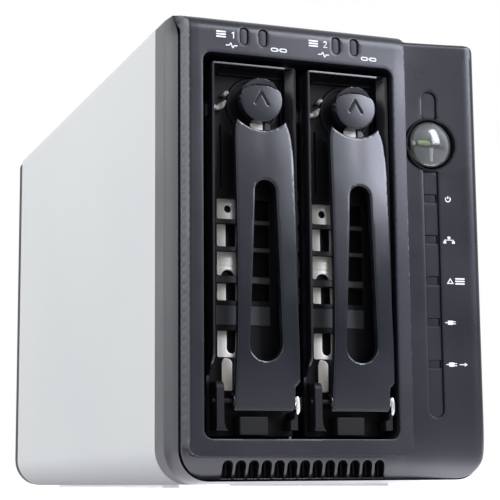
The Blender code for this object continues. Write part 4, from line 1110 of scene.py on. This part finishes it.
def make_rails(side, cx):
    """Channels above and below the drive with their slots, and the left cheek with its windows."""
    own = rider(side, "tray")
    drive = extent(f"hard_drive_{side}")
    end = extent(f"tray_{side}")[3]
    left = cx - TRAY_HALF
    rails = []
    for z, way in ((drive[5] + 0.3, 1), (drive[4] - 0.3, -1)):
        web = sorted((z, z + way * 1.5))
        slots = [rounded(cx - 6.0, cx + 6.0, y, y + 16.0, 3.0) for y in (62.0, 86.0, 110.0)]
        slots += [circle(cx, y, 1.9, 20) for y in (52.5, 154.1)]
        outline = rounded(cx - 12.8, cx + 12.8, LADDER_Y[1] - 0.2, end, 0.5, steps=2)
        rails.append(slab("Z", *web, outline, *slots))
        tips = sorted((z + way * 1.4, z + way * 6.4))
        rails += [block(u, u + 1.4, LADDER_Y[1] - 0.2, end, *tips) for u in (cx - 12.8, cx + 11.4)]
    windows = [rounded(LADDER_Y[1] + 0.6, 22.0, z0, z1, 0.4, steps=2)
               for z0, z1 in (*WINDOWS, (93.8, 98.0))]
    outline = rounded(LADDER_Y[1] - 0.2, 26.0, 24.0, 128.0, 0.4, steps=2)
    cheek = slab("X", left, left + TRAY_WALL, outline, *windows)
    own("tray_rails", "tray", group([*rails, cheek]), bevel=0.2)


def make_hinge(side, cx):
    """The hinge pin, and a torsion spring with its bright bent arm."""
    own = rider(side, "tray")
    y, z = HINGE_Y, HINGE_Z
    x0, x1 = cx - TRAY_HALF + 0.1, cx + TRAY_HALF - 0.1
    pin = slab("X", x0, x1, circle(y, z, 0.85, 28))
    own("pin", "dark", pin, "hinge_pin", slot="galvanised_steel", bevel=0.15)
    turns, steps = 3.5, 28
    coil = [(cx + 11.95 + 0.43 * i / steps, y + 1.85 * math.cos(2 * math.pi * i / steps),
             z + 1.85 * math.sin(2 * math.pi * i / steps)) for i in range(int(turns * steps) + 1)]
    own("spring", "spring", tube(coil, 0.2, 8), "hinge_spring")
    rings = []
    for t in np.linspace(-1, 1, 17):
        w = math.sqrt(max(1 - t ** 4, 0.02))
        rings.append([(cx + 13.55 + 0.62 * w * math.cos(a) - 0.25 * (t ** 2),
                       1.1 + 0.5 * w * math.sin(a), 25.6 + 2.95 * t)
                      for a in (2 * math.pi * k / 16 for k in range(16))])
    own("spring_arm", "polished", loft(rings), sharp=80)


def make_bracket(side, cx):
    """Bright sheet behind the ladder: pierced plate, side leg, tongue and leaf spring, and a near-black
    sheet over the drive as painted shade.
    """
    own = rider(side, "tray")
    x0, x1, y0, y1, z0, z1 = extent(f"tray_bracket_{side}")
    holes = [circle(cx - 6.1, 89.6, 1.25, 24), rounded(cx - 6.9, cx - 3.3, 75.6, 85.0, 0.5, steps=3),
             [*arc(cx - 6.2, 67.2, 2.4, 0, 180, 14), (cx - 8.6, 66.4), (cx - 3.8, 66.4)],
             rounded(cx - 6.9, cx - 3.3, 55.0, 65.2, 0.5, steps=3), stadium(cx - 5.0, 47.0, 3.4, 9.0)]

    def pressed(u, v):
        lines = sum(0.16 * np.exp(-((v - height) / 0.16) ** 2) for height in (70.6, 72.2, 73.8))
        fold = 0.25 * np.exp(-((u - cx + 9.3) / 0.3) ** 2)
        return y0 + lines + fold

    plate = relief(rounded(cx - 13.2, cx - 0.4, z0, z1, 0.4, steps=3), holes, pressed, level(y0 + 0.8),
                   0.45, 0.12)
    leg = slab("X", x0, x0 + 0.8, rounded(y0 + 0.5, y1, z0, z1, 0.4, steps=2))
    # A near-black sheet in front of the drive: painted shade seen through the windows.
    painted_shade_sheet = slab("Y", y0 + 1.3, y0 + 1.9, rounded(cx - 12.0, cx + 13.4, 26.0, 128.0, 0.5))
    own("drive_painted_shade", "dark", painted_shade_sheet)
    own("bracket", "bracket", group([plate, leg]), "tray_bracket")
    centre, top = cx + ARCH_U, ARCH_LOW + ARCH_HEIGHT - 0.3
    half = ARCH_WIDTH / 2 - 0.2
    tongue = [*arc(centre, top - half, half, 0, 180, 14), (centre - half, ARCH_LOW + 0.3),
              (centre + half, ARCH_LOW + 0.3)]
    own("arch_tongue", "bracket", relief(tongue, [], level(8.9), level(9.7), 0.6, 0.15))
    lumps = [((-13.2, 121.4), (-12.6, 123.3), (-11.3, 122.9), (-10.4, 123.6), (-8.6, 124.6),
              (-7.8, 124.9), (-8.2, 123.2), (-9.6, 121.6), (-11.4, 121.2)),
             ((-9.6, 126.4), (-8.4, 127.8), (-7.2, 128.3), (-6.9, 127.4), (-8.2, 126.0))]
    crumpled = lambda x, z: 6.6 + 0.5 * np.sin(1.9 * x) + 0.25 * np.cos(2.6 * z)
    leaf = [relief(moved(lump, cx), [], crumpled, level(8.2), 0.4, 0.35) for lump in lumps]
    own("leaf_spring", "leaf", group(leaf), "latch_spring", bevel=0.08)


# ---------------------------------------------------------------- stage

def direction(azimuth, elevation):
    """A unit vector: azimuth 0 points to the front (-Y), 90 to the right (+X)."""
    a, e = math.radians(azimuth), math.radians(elevation)
    return (math.sin(a) * math.cos(e), -math.cos(a) * math.cos(e), math.sin(e))


# Light in lobes round the object: azimuth, elevation, sharpness, strength
LOBES = (
    (-100, 32, 7.5, 6.4),
    (192, 28, 2.5, 1.15),
    (24, 38, 12.0, 1.9),
    (-30, 45, 5.0, 0.9),
    (95, 28, 5.0, 1.8),
)
AMBIENT = 0.06
FLOOR_GAP = 0.00002
SOFTBOX = (33.5, 30, 1.5, (0.46, 0.95), 14.5)  # azimuth, elevation, distance, size, radiance


def make_world():
    """Soft lobes of light round the object, and plain white where the camera sees past it."""
    world = bpy.data.worlds.new("studio")
    bpy.context.scene.world = world
    world.use_nodes = True
    world.node_tree.nodes.clear()
    g = Nodes(world)
    place = g.add("TexCoord").node.outputs["Generated"]
    total = AMBIENT
    for azimuth, elevation, sharpness, strength in LOBES:
        dot = g.add("VectorMath", {0: place, 1: direction(azimuth, elevation)}, operation="DOT_PRODUCT")
        lobe = g.math("POWER", g.math("MAXIMUM", dot.node.outputs["Value"], 0.0), sharpness)
        total = g.math("ADD", g.math("MULTIPLY", lobe, strength), total)
    light = g.add("Background", {"Color": (0.97, 0.985, 1.0, 1.0), "Strength": total})
    seen = g.add("Background", {"Color": (1.0, 1.0, 1.0, 1.0)})
    camera = g.add("LightPath").node.outputs["Is Camera Ray"]
    end = g.tree.nodes.new("ShaderNodeOutputWorld")
    g.tree.links.new(g.add("MixShader", {0: camera, 1: light, 2: seen}), end.inputs["Surface"])


def area_light(name, azimuth, elevation, distance, size, radiance):
    """A rectangular softbox (wide, high) that looks at the object."""
    data = bpy.data.lights.new(name, "AREA")
    data.shape = "RECTANGLE"
    data.size, data.size_y = size
    data.energy = radiance * math.pi * size[0] * size[1]
    data.color = (0.90, 0.93, 1.10)
    obj = bpy.data.objects.new(name, data)
    way = Vector(direction(azimuth, elevation))
    obj.location = way * distance + Vector((0, 0, HEIGHT * MM / 2))
    obj.rotation_mode = "QUATERNION"
    obj.rotation_quaternion = way.to_track_quat("Z", "Y")
    bpy.context.scene.collection.objects.link(obj)


def make_floor():
    """A pale floor, with painted light in front that the glossy front reflects, and painted light under
    the object that hides its contact shadow.
    """
    bm = bmesh.new()
    bmesh.ops.create_grid(bm, x_segments=8, y_segments=8, size=3.0)
    floor = bpy.data.objects.new("floor", finished(bm))
    floor.location.z = CORNER.z - FLOOR_GAP
    g = Nodes("pale_floor")
    rays = g.add("LightPath").node.outputs
    g.feed(Base_Color=g.blend(rays["Is Camera Ray"], (0.22, 0.22, 0.22), (0.88, 0.88, 0.88)))
    aside, depth, _ = g.add("SeparateXYZ", {0: g.place}).node.outputs
    ahead = g.math("SUBTRACT", CORNER.y, depth)  # metres in front of the object
    # Painted light on the floor: a glowing band close in front that the glossy front reflects, brighter
    # to the right and fading further out.
    near_painted_light = g.ramp(g.math("ABSOLUTE", ahead), 3.2, 0.3, 0.008, 0.019)
    near_painted_light = g.math("MULTIPLY", near_painted_light, g.ramp(aside, 1.0, 2.4, 0.018, 0.045))
    painted_light_pool = g.math("ADD", near_painted_light, g.ramp(ahead, 0.35, 0.0, 0.03, 0.16))
    # Painted light under the object for camera rays, which hides its contact shadow.
    within = g.ramp(g.math("ABSOLUTE", aside), 0.45, 0.0, 0.052, 0.056)
    painted_light_beneath = g.math("MULTIPLY", within, g.ramp(ahead, 1.0, 0.0, -0.01, 0.0))
    bright = g.math("MULTIPLY", rays["Is Camera Ray"], g.math("ADD", painted_light_beneath, 0.5))
    g.feed(Emission_Strength=g.add("Mix", {0: rays["Is Glossy Ray"], 2: bright, 3: painted_light_pool},
                                   data_type="FLOAT"))
    floor.data.materials.append(g.fixed(Roughness=0.8, Emission_Color=(0.97, 0.97, 1.04, 1)))
    bpy.context.scene.collection.objects.link(floor)


def make_camera():
    """The photograph's camera, turned by yaw, pitch and roll."""
    data = bpy.data.cameras.new("camera")
    data.sensor_width = SENSOR
    data.lens = LENS
    data.clip_start = 0.01
    camera = bpy.data.objects.new("camera", data)
    yaw, pitch, roll = (math.radians(a) for a in (CAMERA_YAW, CAMERA_PITCH, CAMERA_ROLL))
    ahead = Vector((math.sin(yaw) * math.cos(pitch), math.cos(yaw) * math.cos(pitch), math.sin(pitch)))
    level_right = Vector((math.cos(yaw), -math.sin(yaw), 0))
    level_up = level_right.cross(ahead)
    right = level_right * math.cos(roll) + level_up * math.sin(roll)
    up = level_up * math.cos(roll) - level_right * math.sin(roll)
    turn = Matrix((right, up, -ahead)).transposed().to_4x4()
    camera.matrix_world = Matrix.Translation(at(*CAMERA_PLACE)) @ turn
    bpy.context.scene.collection.objects.link(camera)
    bpy.context.scene.camera = camera


# CAD nodes that keep their own shape: look and softened edge
INNER = {
    "drive_cage": ("steel", 0.1), "backplane_board": ("board", 0.1), "main_board": ("board", 0.2),
    "heat_sink": ("alloy", 0.1), "rear_panel": ("steel", 0.1), "fan_frame": ("fan", 0.3),
    "fan_rotor": ("fan", 0.2), "fan_guard": ("screw", 0.0), "dc_jack": ("gloss", 0.2),
    "usb_port": ("screw", 0.1), "esata_port": ("screw", 0.1), "network_port": ("screw", 0.1),
    "reset_button": ("black", 0.2),
    **{f"fan_screw_{i}": ("screw", 0.2) for i in (1, 2, 3, 4)},
    **{f"panel_screw_{i}": ("screw", 0.2) for i in (1, 2)},
}
for tray in "ab":
    INNER.update({
        f"hard_drive_{tray}": ("alloy", 0.3), f"drive_board_{tray}": ("board", 0.1),
        f"drive_socket_{tray}": ("gloss", 0.1),
        f"drive_screw_{tray}1": ("screw", 0.1), f"drive_screw_{tray}2": ("screw", 0.1),
    })


def main():
    bpy.context.scene.view_settings.view_transform = "Standard"
    make_camera()
    make_world()
    make_floor()
    area_light("right_softbox", *SOFTBOX)
    make_casing()
    make_bezel()
    make_strip()
    make_power_button()
    make_marks()
    for side, cx in TRAYS.items():
        make_tray(side, cx)
    for node, (look, bevel) in INNER.items():
        keep_node(node, look, bevel)


main()
